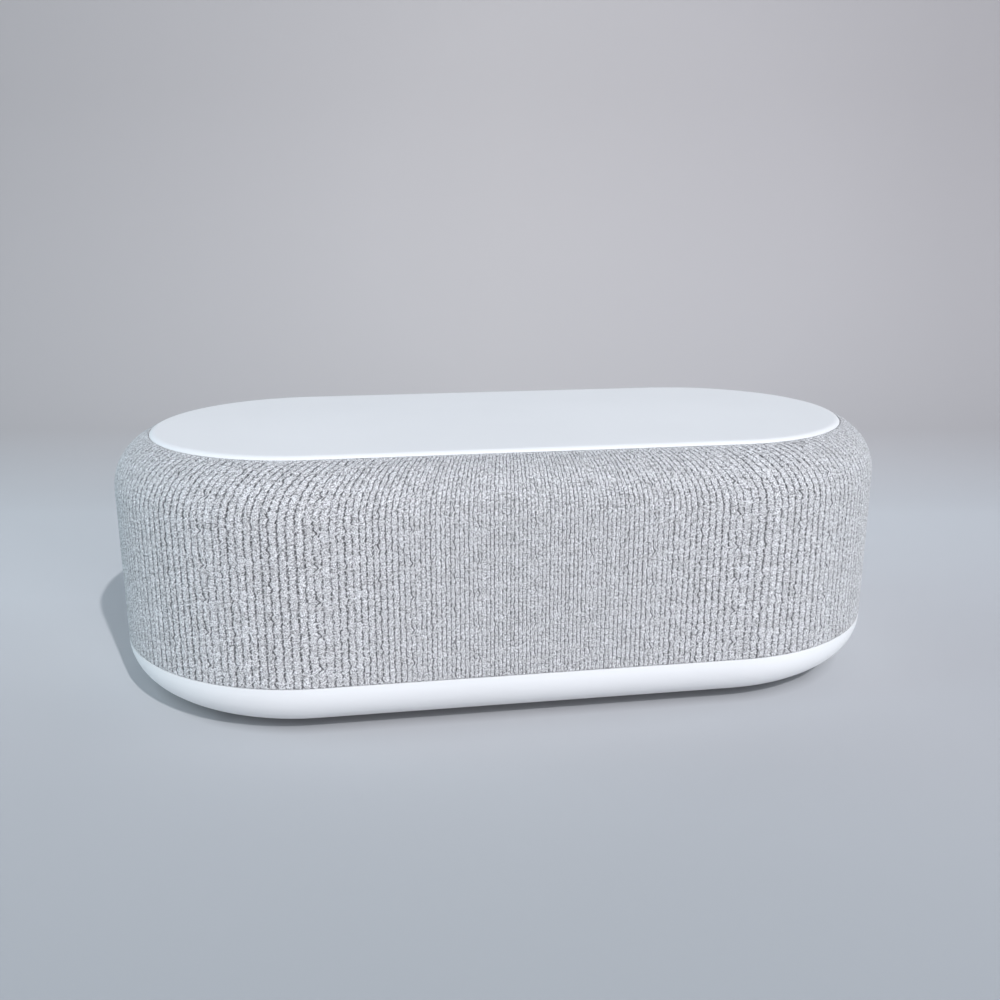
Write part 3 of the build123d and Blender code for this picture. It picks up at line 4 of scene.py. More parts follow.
import bpy
import numpy as np
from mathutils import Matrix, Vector


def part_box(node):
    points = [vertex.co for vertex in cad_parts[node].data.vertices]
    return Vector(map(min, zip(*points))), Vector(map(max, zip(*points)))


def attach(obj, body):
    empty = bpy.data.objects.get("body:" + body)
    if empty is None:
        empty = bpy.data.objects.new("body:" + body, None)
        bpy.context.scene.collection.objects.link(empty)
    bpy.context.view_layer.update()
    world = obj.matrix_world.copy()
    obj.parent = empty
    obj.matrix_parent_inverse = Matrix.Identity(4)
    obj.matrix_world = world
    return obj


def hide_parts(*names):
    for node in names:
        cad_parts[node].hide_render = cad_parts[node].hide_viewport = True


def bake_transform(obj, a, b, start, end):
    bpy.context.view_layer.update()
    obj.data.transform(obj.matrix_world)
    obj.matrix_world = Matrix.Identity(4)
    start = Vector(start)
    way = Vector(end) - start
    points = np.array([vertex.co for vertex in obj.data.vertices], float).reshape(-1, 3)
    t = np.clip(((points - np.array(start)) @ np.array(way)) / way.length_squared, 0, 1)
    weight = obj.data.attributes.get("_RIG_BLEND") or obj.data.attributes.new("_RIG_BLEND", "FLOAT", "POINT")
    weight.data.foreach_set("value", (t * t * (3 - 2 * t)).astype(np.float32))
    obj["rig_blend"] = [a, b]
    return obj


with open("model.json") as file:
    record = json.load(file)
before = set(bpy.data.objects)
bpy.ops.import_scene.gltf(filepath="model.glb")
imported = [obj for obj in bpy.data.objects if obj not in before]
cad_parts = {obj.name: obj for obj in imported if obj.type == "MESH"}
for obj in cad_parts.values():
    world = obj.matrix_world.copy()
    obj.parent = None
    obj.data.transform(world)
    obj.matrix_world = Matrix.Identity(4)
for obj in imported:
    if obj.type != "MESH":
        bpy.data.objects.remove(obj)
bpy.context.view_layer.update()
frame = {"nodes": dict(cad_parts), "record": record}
nodes = frame["nodes"]
slot_of = {part["node"]: part["material_slot"] for part in frame["record"]["subparts"]}

MM = 0.001
TURN = 2.0 * math.pi
X, Y, Z = range(3)


def corners(node):
    """Lowest and highest corner of a solid in millimetres, to a thousandth."""
    return [[round(value / MM, 3) for value in corner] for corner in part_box(node)]


# Sizes that the knit follows, in millimetres: from the solids, and with the same clearances
SLEEVE_LOW, SLEEVE_HIGH = corners("fabric_sleeve")
PLATE_LOW, PLATE_HIGH = corners("top_plate")
PANEL_LOW, PANEL_HIGH = corners("rear_panel")
SHOULDER_R = 18.0
HEM_SLIP = 0.15
HEM_LIFT = 0.2
PANEL_LAP = 1.5
SHEET_T = 0.75
WALL_R = SLEEVE_HIGH[Y]
HALF_SPINE = SLEEVE_HIGH[X] - WALL_R
BASE_LINE = SLEEVE_LOW[Z]
SHOULDER_Z = PLATE_HIGH[Z] - SHOULDER_R
SHOULDER_C = WALL_R - SHOULDER_R
HEM_R = PLATE_HIGH[Y] + HEM_SLIP
HEM_FOOT_Z = PLATE_LOW[Z] + HEM_LIFT
WINDOW_HALF = PANEL_HIGH[X] - PANEL_LAP
WINDOW_LOW = PANEL_LOW[Z] + PANEL_LAP
WINDOW_HIGH = PANEL_HIGH[Z] - PANEL_LAP

# The knit: ribs stand in planes through the upright axis, and the figure repeats in tiles
SEED = 417
TILES = 24
RIBS_PER_TILE = 14
RIBS = TILES * RIBS_PER_TILE
COURSE = 0.894
COURSES_PER_TILE = 12
ROWS_PER_COURSE = 2
ROWS_PER_TILE = COURSES_PER_TILE * ROWS_PER_COURSE
DASH_COURSES = 2
ROWS_PER_DASH = DASH_COURSES * ROWS_PER_COURSE
# Where the figure starts, in ribs and courses
FIGURE_RIB = 10
FIGURE_COURSE = -1.0
# Columns across a rib, as shares of its width: its groove, a flank, its crest and the other flank
GROOVE_AT = 0.0
CREST_AT = 0.5
RIB_STEPS = np.array((GROOVE_AT, 0.19, CREST_AT, 0.81))
COLUMNS_PER_RIB = len(RIB_STEPS)
COLUMNS = RIBS * COLUMNS_PER_RIB

# How far grooves and flanks lie under the sleeve's surface and crests swell, in millimetres
GROOVE = 0.42
FLANK_DROP = 0.14 * GROOVE
FLANK_SWELL_SHARE = 0.5
COURSE_SWELL = 0.05
CREST_NOISE = 0.035
HIGHEST = 0.02

# How grooves sway sideways, in ribs: waves as cycles in a tile and strength, a shift, and unevenness
SWAY_WAVES = ((1, 0.055), (2, 0.05), (3, 0.04))
LEAST_WAVE = 0.35
LANE_SHIFT = 0.08
ROW_JITTER = 0.07
SWAY_NOISE = 0.025

# How open grooves are, from 0 to about 1: the range of dashes, what is left between them, and unevenness
DASH_RANGE = (0.62, 1.22)
DASH_BREAK = 0.25
OPEN_NOISE = 0.16
OPEN_LIMITS = (0.05, 1.25)
# How strong each groove of a tile is, from the left
LANE_STRENGTH = (0.92, 1.02, 1.02, 0.92, 0.84, 0.82, 0.92, 1.02, 0.92, 0.86, 1.06, 1.02, 1.06, 0.98)
# Tucks in a tile: the groove, the course and how far the groove is pushed aside, in ribs
KNOTS = ((3, 8.2, 0.55), (4, 7.4, -0.25), (7, 8.6, 0.22), (8, 8.4, -0.22), (12, 3.0, -0.3))
# How far a tuck reaches up and down, in courses, and how far it opens its groove
KNOT_REACH = 0.8
KNOT_OPEN_REACH = 0.9
KNOT_OPEN = 1.2
KNOT_OPEN_PER_RIB = 2.5
# Places in a tile where the loops close over the grooves: first and last groove, lower and upper course
CLOSED = ((3, 6, 4.9, 6.3), (6, 9, 6.8, 7.8), (8, 10, 9.6, 11.6), (0, 1, 9.6, 10.6), (4, 5, 10.4, 11.8))
CLOSED_SHARE = 0.5
# How much of the yarn's tone repeats with the tile, and how much is each place's own
REPEATED_TONE = 0.8
OWN_TONE = 0.6

# The sleeve's edges, in millimetres: the hem goes down beside the plate, the foot is drawn in at the base
HEM_SHARES = (0.3, 0.65, 1.0)
HEM_ROWS = len(HEM_SHARES)
HEM_STAND = 0.02
HEM_T = 0.45
CALM_BAND = 0.5
CALM_SHARE = 0.25
FOOT_TUCK = 0.18
FOOT_LIFT = 0.03
# Heights at which the plain inner side has points
INNER_LEVELS = (BASE_LINE, WINDOW_LOW, WINDOW_HIGH, SHOULDER_Z, 74.5, 78.8, 82.4, 85.2)

# Layout for baked textures: strips of the outer side, and over them thin ones of the inner side
# For each side: its lowest edge, a strip's height, and the shares of that height left free below and filled
BAKE_STRIPS = 3
BAKE_MARGIN = 0.01
OUTER_STRIPS = (0.0, 0.305, 0.02, 0.95)
INNER_STRIPS = (0.925, 0.024, 0.05, 0.9)

# The rib, the place in it and the angle of each column, with two columns set on the window's sides
RIB_OF = np.arange(COLUMNS) // COLUMNS_PER_RIB
STEP_OF = RIB_STEPS[np.arange(COLUMNS) % COLUMNS_PER_RIB]
IN_GROOVE = STEP_OF == GROOVE_AT
ON_CREST = STEP_OF == CREST_AT
ON_FLANK = ~(IN_GROOVE | ON_CREST)
EVEN_THETA = (RIB_OF + STEP_OF) * TURN / RIBS
WINDOW_ANGLES = [math.atan2(WALL_R, side * WINDOW_HALF) for side in (1.0, -1.0)]
WINDOW_COLUMNS = [int(np.argmin(np.abs(EVEN_THETA - angle))) for angle in WINDOW_ANGLES]
EVEN_THETA[WINDOW_COLUMNS] = WINDOW_ANGLES


def stadium(theta, radius):
    """Points and outward normals where rays at theta meet a stadium outline of that end radius."""
    c = np.cos(theta)
    s = np.sin(theta)
    flat_t = radius / np.maximum(np.abs(s), 1e-9)
    flat = np.abs(flat_t * c) <= HALF_SPINE
    under = np.maximum(radius**2 - (HALF_SPINE * s) ** 2, 0.0)
    round_t = HALF_SPINE * np.abs(c) + np.sqrt(under)
    t = np.where(flat, flat_t, round_t)
    x = t * c
    y = t * s
    nx = np.where(flat, 0.0, (x - np.sign(c) * HALF_SPINE) / radius)
    ny = np.where(flat, np.sign(s), y / radius)
    return x, y, nx, ny


def knit_profile():
    """Rows up the sleeve as radius, height, the normal's two parts, and length along the profile."""
    wall = SHOULDER_Z - BASE_LINE
    total = wall + SHOULDER_R * math.acos((HEM_R - SHOULDER_C) / SHOULDER_R)
    count = round(total * ROWS_PER_COURSE / COURSE)
    rows = []
    for i in range(count + 1):
        length = total * i / count
        if length <= wall:
            rows.append([WALL_R, BASE_LINE + length, 1.0, 0.0, length])
        else:
            out = math.cos((length - wall) / SHOULDER_R)
            up = math.sin((length - wall) / SHOULDER_R)
            rows.append([SHOULDER_C + SHOULDER_R * out, SHOULDER_Z + SHOULDER_R * up, out, up, length])
    top = rows[-1][1]
    for share in HEM_SHARES:
        drop = (top - HEM_FOOT_Z) * share
        rows.append([HEM_R + HEM_STAND, top - drop, 0.0, 0.0, total + drop])
    rows = np.array(rows)
    for level in (WINDOW_LOW, WINDOW_HIGH):
        rows[np.argmin(np.abs(rows[:, 1] - level)), 1] = level
    return rows


def tiled_wave(rng, place):
    """Smooth seeded waves up each groove of a tile that repeat with the tile."""
    turns = place / COURSES_PER_TILE * TURN
    out = np.zeros((len(place), RIBS_PER_TILE))
    for cycles, strength in SWAY_WAVES:
        phase = rng.uniform(0.0, TURN, RIBS_PER_TILE)
        size = rng.uniform(LEAST_WAVE, 1.0, RIBS_PER_TILE) * strength
        out += size * np.sin(cycles * turns[:, None] + phase)
    return out


def dash_figure(rng, place, row):
    """How open each groove of a tile is at each row: short dashes, closed where loops cross it."""
    dashes = rng.uniform(*DASH_RANGE, (COURSES_PER_TILE // DASH_COURSES, RIBS_PER_TILE))
    start = rng.integers(0, ROWS_PER_DASH, RIBS_PER_TILE)
    dash, row_in_dash = np.divmod((row[:, None] + start) % ROWS_PER_TILE, ROWS_PER_DASH)
    figure = dashes[dash, np.arange(RIBS_PER_TILE)] * np.array(LANE_STRENGTH)
    figure *= np.where(row_in_dash == 0, DASH_BREAK, 1.0)
    for first, last, low, high in CLOSED:
        inside = (place >= low) & (place <= high)
        figure[inside, first:last] *= CLOSED_SHARE
    for lane, course, size in KNOTS:
        near = np.exp(-(((place - course) / KNOT_OPEN_REACH) ** 2))
        wide = KNOT_OPEN * near * min(1.0, abs(size) * KNOT_OPEN_PER_RIB)
        figure[:, lane] = np.maximum(figure[:, lane], wide)
    return figure


def over_tiles(field, columns=1):
    """A tile's field, with that many columns to a rib, repeated round the sleeve."""
    return np.roll(np.tile(field, (1, TILES)), FIGURE_RIB * columns, axis=1)


def knit_figure(length):
    """The sway, opening and crest swell of each rib at each row, and the yarn's tone in each column."""
    rng = np.random.default_rng(SEED)
    count = len(length)
    place = (length / COURSE - FIGURE_COURSE) % COURSES_PER_TILE
    row = np.floor(place * ROWS_PER_COURSE).astype(int)

    sway = tiled_wave(rng, place)
    sway += rng.uniform(-LANE_SHIFT, LANE_SHIFT, RIBS_PER_TILE)
    sway += rng.uniform(-ROW_JITTER, ROW_JITTER, (ROWS_PER_TILE, RIBS_PER_TILE))[row]
    for lane, course, size in KNOTS:
        sway[:, lane] += size * np.exp(-(((place - course) / KNOT_REACH) ** 2))
    sway = over_tiles(sway) + SWAY_NOISE * rng.standard_normal((count, RIBS))

    opening = over_tiles(dash_figure(rng, place, row))
    opening = np.clip(opening + OPEN_NOISE * rng.standard_normal((count, RIBS)), *OPEN_LIMITS)

    swell = COURSE_SWELL * np.where(np.arange(count) % ROWS_PER_COURSE == 0, 1.0, -1.0)
    swell = swell[:, None] + CREST_NOISE * rng.standard_normal((count, RIBS))

    tone = rng.standard_normal((ROWS_PER_TILE, RIBS_PER_TILE * COLUMNS_PER_RIB))[row]
    tone = REPEATED_TONE * over_tiles(tone, COLUMNS_PER_RIB)
    tone = tone + OWN_TONE * rng.standard_normal((count, COLUMNS))
    return sway, opening, swell, tone


def rib_relief(length, sway, opening, swell):
    """The angle of each point, how far it stands out, and how open its groove is, which sets the groove's dark
    yarn core and painted shade, calmer at the hem.
    """
    calm = np.where(length > length[-HEM_ROWS - 1] - CALM_BAND, CALM_SHARE, 1.0)[:, None]
    next_rib = (RIB_OF + 1) % RIBS
    lean = ((1.0 - STEP_OF) * sway[:, RIB_OF] + STEP_OF * sway[:, next_rib]) * calm
    theta = (RIB_OF + STEP_OF + lean) * TURN / RIBS
    theta[:, WINDOW_COLUMNS] = WINDOW_ANGLES

    relief = np.zeros((len(length), COLUMNS))
    relief[:, IN_GROOVE] = -GROOVE * opening
    relief[:, ON_CREST] = swell
    relief[:, ON_FLANK] = -FLANK_DROP + FLANK_SWELL_SHARE * swell[:, RIB_OF[ON_FLANK]]
    relief = np.minimum(relief * calm, HIGHEST)
    relief[-HEM_ROWS:] = 0.0
    relief[0] -= FOOT_TUCK

    groove_core_and_shade = np.zeros((len(length), COLUMNS))
    groove_core_and_shade[:, IN_GROOVE] = opening * calm
    groove_core_and_shade[-HEM_ROWS - 1:] = 0.0
    return theta, relief, groove_core_and_shade


def ring_points(row, theta, off):
    """Points round one row of the profile at those angles, moved out along the normal by off."""
    radius, height, n_out, n_up, _ = row
    x, y, nx, ny = stadium(theta, radius)
    points = np.empty((COLUMNS, 3))
    points[:, X] = x + nx * n_out * off
    points[:, Y] = y + ny * n_out * off
    points[:, Z] = height + n_up * off
    return points


def inner_side(rows, inner_at):
    """Points of the sleeve's plain inner side, at some of its rows, and of the hem's own inner edge."""
    rings = [ring_points(rows[i], EVEN_THETA, -SHEET_T) for i in inner_at[:-1]]
    radius, height, _, _, length = rows[-1]
    rings.append(ring_points((radius, height, 1.0, 0.0, length), EVEN_THETA, HEM_T))
    return np.array(rings)


def grid_faces(grid, turned, window_rows):
    """Faces of a grid of point numbers that closes round the sleeve, with the window left open."""
    low, high = window_rows
    left, right = WINDOW_COLUMNS
    a = grid[:-1]
    b = grid[1:]
    a_next = np.roll(a, -1, axis=1)
    b_next = np.roll(b, -1, axis=1)
    faces = np.stack([a, b, b_next, a_next] if turned else [a, a_next, b_next, b], axis=-1)
    keep = np.ones(faces.shape[:2], bool)
    keep[low:high, left:right] = False
    return faces[keep]


def sleeve_faces(count, inner_at):
    """Faces of the outer and inner side and of the edges that join them at foot, hem and window."""
    outer = np.arange(count * COLUMNS).reshape(count, COLUMNS)
    inner = outer.size + np.arange(len(inner_at) * COLUMNS).reshape(-1, COLUMNS)
    low, high = inner_at[1:3]
    left, right = WINDOW_COLUMNS
    here = np.arange(COLUMNS)
    beside = np.roll(here, -1)
    span = np.arange(left, right)
    quads = np.concatenate([
        grid_faces(outer, False, (low, high)),
        grid_faces(inner, True, (1, 2)),
        np.stack([outer[0, here], inner[0, here], inner[0, beside], outer[0, beside]], -1),
        np.stack([outer[-1, here], outer[-1, beside], inner[-1, beside], inner[-1, here]], -1),
        np.stack([outer[low, span], outer[low, span + 1], inner[1, span + 1], inner[1, span]], -1),
        np.stack([outer[high, span + 1], outer[high, span], inner[2, span], inner[2, span + 1]], -1),
    ])
    faces = quads.tolist()
    # The window's sides are fans, because the outer side has many rows there and the inner side two
    middle = (low + high) // 2
    for column, turned in ((left, False), (right, True)):
        sill, head = inner[1:3, column]
        fan = [(outer[i, column], outer[i + 1, column], sill) for i in range(low, middle)]
        fan += [(outer[i, column], outer[i + 1, column], head) for i in range(middle, high)]
        fan.append((outer[middle, column], head, sill))
        faces += fan if turned else [face[::-1] for face in fan]
    return faces


def strip_height(side, strip, rise):
    """Where a point lies in the upright way of the layout for baked textures."""
    lowest, tall, free, filled = side
    return lowest + (strip + free + filled * rise) * tall


def lay_out(mesh, rows, inner_at):
    """Texture coordinates in ribs and courses for the yarn, and a layout in strips for baked textures."""
    points = np.empty(len(mesh.loops), np.int32)
    mesh.loops.foreach_get("vertex_index", points)
    sizes = np.empty(len(mesh.polygons), np.int32)
    mesh.polygons.foreach_get("loop_total", sizes)
    face_of = np.repeat(np.arange(len(sizes)), sizes)
    face_start = np.concatenate([[0], np.cumsum(sizes)[:-1]])

    ring, column = np.divmod(points, COLUMNS)
    length = rows[np.concatenate([np.arange(len(rows)), inner_at])[ring], 4]
    first = np.minimum.reduceat(column, face_start)
    last = np.maximum.reduceat(column, face_start)
    over_seam = last - first > COLUMNS // 2
    wraps = over_seam[face_of] & (column == 0)
    along = (RIB_OF + STEP_OF)[column] + np.where(wraps, RIBS, 0)
    stitches = np.stack([along, length / COURSE], -1)

    strip_columns = COLUMNS // BAKE_STRIPS
    strip = (np.where(over_seam, COLUMNS - 1, first) // strip_columns)[face_of]
    run = column + np.where(wraps, COLUMNS, 0) - strip * strip_columns
    rise = length / rows[-1, 4]
    inside = np.minimum.reduceat(ring >= len(rows), face_start)[face_of]
    bake_u = BAKE_MARGIN + (1.0 - 2.0 * BAKE_MARGIN) * run / strip_columns
    outer_v = strip_height(OUTER_STRIPS, strip, rise)
    inner_v = strip_height(INNER_STRIPS, strip, rise)
    bake = np.stack([bake_u, np.where(inside, inner_v, outer_v)], -1)

    for name, places in (("stitches", stitches), ("OFBake", bake)):
        layer = mesh.uv_layers.new(name=name)
        layer.data.foreach_set("uv", places.astype(np.float32).ravel())
    mesh.uv_layers.active = mesh.uv_layers["stitches"]


def knit_sleeve():
    """The knitted sleeve as one closed mesh, its ribs raised out of it."""
    rows = knit_profile()
    length = rows[:, 4]
    sway, opening, swell, tone = knit_figure(length)
    theta, relief, groove_core_and_shade = rib_relief(length, sway, opening, swell)
    heights = rows[:-HEM_ROWS, 1]
    inner_at = [int(np.argmin(np.abs(heights - level))) for level in INNER_LEVELS]
    inner_at.append(len(rows) - 1)

    outer = np.array([ring_points(*ring) for ring in zip(rows, theta, relief)])
    inner = inner_side(rows, inner_at)
    for side in (outer, inner):
        side[0, :, Z] = BASE_LINE + FOOT_LIFT
    points = np.concatenate([outer.reshape(-1, 3), inner.reshape(-1, 3)]) * MM

    mesh = bpy.data.meshes.new("knit_sleeve")
    mesh.from_pydata(points.tolist(), [], sleeve_faces(len(rows), inner_at))
    mesh.polygons.foreach_set("use_smooth", np.ones(len(mesh.polygons), bool))
    lay_out(mesh, rows, inner_at)
    # Per point: how open its groove is, for the groove's dark yarn core and painted shade, and the yarn's random
    # tone
    for name, field in (("groove_core_and_shade", groove_core_and_shade), ("tone", tone)):
        values = np.zeros(len(mesh.vertices), np.float32)
        values[:field.size] = field.ravel()
        mesh.attributes.new(name, "FLOAT", "POINT").data.foreach_set("value", values)
    mesh.validate()
    piece = bpy.data.objects.new("knit_sleeve", mesh)
    bpy.context.scene.collection.objects.link(piece)
    return piece


# The range in which most of a noise lies
NOISE_LOW = 0.3
NOISE_HIGH = 0.7
# Moulded finishes: scales of the slow change of tone and of the fine grain, and the grain's gloss and bump
BROAD_SCALE = 14.0
GRAIN_SCALE = 900.0
GRAIN_GLOSS = 0.05
GRAIN_BUMP = 0.6
# Brushed metal: scales along and across the streaks, and their tints, gloss, depth and bump
STREAK_ALONG = 60.0
STREAK_ACROSS = 2600.0
STREAK_DARK = 0.86
STREAK_LIGHT = 1.10
STREAK_GLOSS = 0.08
STREAK_DEPTH = 0.00001
STREAK_BUMP = 0.5
# Bands of wire or cloth: scale and strength of wear, gloss between and on them, and depth by pitch
WEAR_SCALE = 700.0
WEAR = 0.35
BAND_DULL = 0.08
BAND_GLOSS = 0.06
BAND_DEPTH = 0.25
BAND_BUMP = 0.7


class Shader:
    """A material with helpers that add and join nodes."""

    def __init__(self, name):
        self.material = bpy.data.materials.new(name)
        self.material.use_nodes = True
        self.tree = self.material.node_tree
        self.body = self.tree.nodes["Principled BSDF"]

    def add(self, kind, **settings):
        node = self.tree.nodes.new(kind)
        for key, value in settings.items():
            setattr(node, key, value)
        return node

    def join(self, a, b):
        self.tree.links.new(a, b)

    def put(self, socket, value):
        if hasattr(value, "is_output"):
            self.join(value, socket)
        else:
            socket.default_value = value

    def set(self, **values):
        """Plain values of the shader's own sockets, named with _ for a blank."""
        for key, value in values.items():
            self.body.inputs[key.replace("_", " ")].default_value = value

    def colour(self, output):
        self.join(output, self.body.inputs["Base Color"])

    def rough(self, output):
        self.join(output, self.body.inputs["Roughness"])

    def math(self, operation, a, b=0.0):
        node = self.add("ShaderNodeMath", operation=operation)
        self.put(node.inputs[0], a)
        self.put(node.inputs[1], b)
        return node.outputs[0]

    def vector(self, operation, a, b=None):
        node = self.add("ShaderNodeVectorMath", operation=operation)
        self.join(a, node.inputs[0])
        if b is not None:
            node.inputs[1].default_value = b
        return node.outputs["Value" if operation in ("DOT_PRODUCT", "DISTANCE", "LENGTH") else "Vector"]

    def where(self):
        return self.add("ShaderNodeTexCoord").outputs["Object"]

    def noise(self, scale, detail=2.0, rough=0.55, at=None):
        node = self.add("ShaderNodeTexNoise")
        node.inputs["Scale"].default_value = scale
        node.inputs["Detail"].default_value = detail
        node.inputs["Roughness"].default_value = rough
        self.join(at if at is not None else self.where(), node.inputs["Vector"])
        return node.outputs["Fac"]

    def span(self, value, from_low, from_high, to_low, to_high):
        node = self.add("ShaderNodeMapRange")
        node.clamp = True
        self.put(node.inputs["Value"], value)
        node.inputs["From Min"].default_value = from_low
        node.inputs["From Max"].default_value = from_high
        node.inputs["To Min"].default_value = to_low
        node.inputs["To Max"].default_value = to_high
        return node.outputs["Result"]

    def drawn_out(self, noise, low, high):
        """A noise's usual range, drawn out between two values."""
        return self.span(noise, NOISE_LOW, NOISE_HIGH, low, high)

    def ramp(self, value, stops):
        node = self.add("ShaderNodeValToRGB")
        self.join(value, node.inputs["Fac"])
        marks = node.color_ramp.elements
        while len(marks) < len(stops):
            marks.new(0.5)
        for mark, (place, colour) in zip(marks, stops):
            mark.position = place
            mark.color = (*colour, 1.0)
        return node.outputs["Color"]

    def times(self, a, b):
        """Two colours multiplied."""
        node = self.add("ShaderNodeMix", data_type="RGBA", blend_type="MULTIPLY")
        node.inputs["Factor"].default_value = 1.0
        sockets = [socket for socket in node.inputs if socket.type == "RGBA"]
        for socket, value in zip(sockets, (a, b)):
            self.join(value, socket)
        return [socket for socket in node.outputs if socket.type == "RGBA"][0]

    def either(self, factor, a, b):
        """One shader or the other, by the factor."""
        node = self.add("ShaderNodeMixShader")
        for socket, value in zip(node.inputs, (factor, a, b)):
            self.join(value, socket)
        return node.outputs[0]

    def bump(self, height, distance, strength):
        node = self.add("ShaderNodeBump")
        node.inputs["Strength"].default_value = strength
        node.inputs["Distance"].default_value = distance
        self.join(height, node.inputs["Height"])
        self.join(node.outputs["Normal"], self.body.inputs["Normal"])


def tinted(colour, share):
    """A colour made lighter or darker by a share, white at most."""
    return tuple(min(1.0, value * share) for value in colour)


def moulded(name, colour, rough, depth=0.00002, shift=0.03, shine=0.5):
    """A surface whose tone, gloss and grain vary a little."""
    s = Shader(name)
    broad = s.noise(BROAD_SCALE)
    s.colour(s.ramp(broad, ((0.35, tinted(colour, 1.0 - shift)), (0.65, tinted(colour, 1.0 + shift)))))
    fine = s.noise(GRAIN_SCALE)
    s.rough(s.drawn_out(fine, rough - GRAIN_GLOSS, rough + GRAIN_GLOSS))
    s.bump(fine, depth, GRAIN_BUMP)
    s.set(Specular_IOR_Level=shine)
    return s.material


def brushed(name, colour, rough, way):
    """Metal with fine streaks along one way."""
    s = Shader(name)
    stretch = tuple(STREAK_ALONG if axis == way else STREAK_ACROSS for axis in (X, Y, Z))
    streak = s.noise(1.0, rough=0.6, at=s.vector("MULTIPLY", s.where(), stretch))
    s.colour(s.ramp(streak, ((0.32, tinted(colour, STREAK_DARK)), (0.68, tinted(colour, STREAK_LIGHT)))))
    s.rough(s.drawn_out(streak, rough - STREAK_GLOSS, rough + STREAK_GLOSS))
    s.bump(streak, STREAK_DEPTH, STREAK_BUMP)
    s.set(Metallic=1.0)
    return s.material


def banded(name, dark, light, rough, pitch, way, metal=0.0):
    """Turns of wire or ridges of cloth laid side by side along one way, with painted shade between the turns,
    lighter crests and random wear.
    """
    s = Shader(name)
    split = s.add("ShaderNodeSeparateXYZ")
    s.join(s.where(), split.inputs[0])
    wave = s.math("SINE", s.math("MULTIPLY", split.outputs[way], TURN / pitch))
    turn = s.math("MULTIPLY", s.math("ADD", wave, 1.0), 0.5)
    turn_shade_and_wear = s.math("ADD", turn, s.math("MULTIPLY", s.noise(WEAR_SCALE), WEAR))
    # Painted shade between the turns and lighter crests, with random wear mixed in
    s.colour(s.ramp(turn_shade_and_wear, ((0.15, dark), (0.9, light))))
    s.rough(s.span(turn, 0.0, 1.0, rough + BAND_DULL, rough - BAND_GLOSS))
    s.bump(turn, pitch * BAND_DEPTH, BAND_BUMP)
    s.set(Metallic=metal)
    return s.material


def circuit(name):
    """Green solder mask with paler tracks under it."""
    s = Shader(name)
    tracks = s.add("ShaderNodeTexBrick", offset=0.37, squash=1.6, squash_frequency=3)
    s.join(s.where(), tracks.inputs["Vector"])
    tracks.inputs["Scale"].default_value = 150.0
    tracks.inputs["Mortar Size"].default_value = 0.035
    tracks.inputs["Color1"].default_value = (0.012, 0.10, 0.045, 1.0)
    tracks.inputs["Color2"].default_value = (0.018, 0.13, 0.06, 1.0)
    tracks.inputs["Mortar"].default_value = (0.05, 0.24, 0.10, 1.0)
    s.colour(tracks.outputs["Color"])
    s.rough(s.drawn_out(s.noise(1500.0), 0.30, 0.42))
    s.bump(tracks.outputs["Fac"], 0.00003, 0.5)
    return s.material


# The yarn: how far loops lean, in courses for a rib's width, and noises as stretch in ribs and courses
LOOP_LEAN = 1.6
GRAIN_STRETCH = (4.2, 1.7, 1.0)
PATCH_STRETCH = (0.30, 0.25, 1.0)
RAGGED_STRETCH = (5.0, 2.6, 1.0)
FIBRE_SCALE = 3200.0
# How far the ragged noise narrows and widens a groove's dark line of dark yarn core and painted shade
RAGGED_LEAST = 0.50
RAGGED_MOST = 1.40
# How much each noise changes the yarn's tone and stands out of it
GRAIN_TONE = 1.05
FIBRE_TONE = 2.6
FLECK_TONE = 0.075
LOOP_HEIGHT = 0.30
GRAIN_HEIGHT = 0.7
FIBRE_HEIGHT = 0.35
YARN_RELIEF = 0.00025
YARN_TONES = (
    (0.0, (0.10, 0.10, 0.10)),
    (0.25, (0.285, 0.285, 0.285)),
    (0.5, (0.52, 0.517, 0.523)),
    (0.75, (0.745, 0.743, 0.755)),
    (1.0, (0.88, 0.88, 0.89)),
)
PATCH_TONES = ((0.36, (0.95, 0.945, 0.94)), (0.64, (1.0, 1.0, 1.0)))
# How far a groove's colour is darkened by its opening: dark yarn core and painted shade in the groove
GROOVE_CORE_AND_SHADE_TONES = (
    (0.0, (1.0, 1.0, 1.0)),
    (0.22, (0.83, 0.83, 0.833)),
    (0.44, (0.42, 0.42, 0.427)),
    (0.80, (0.20, 0.20, 0.207)),
)


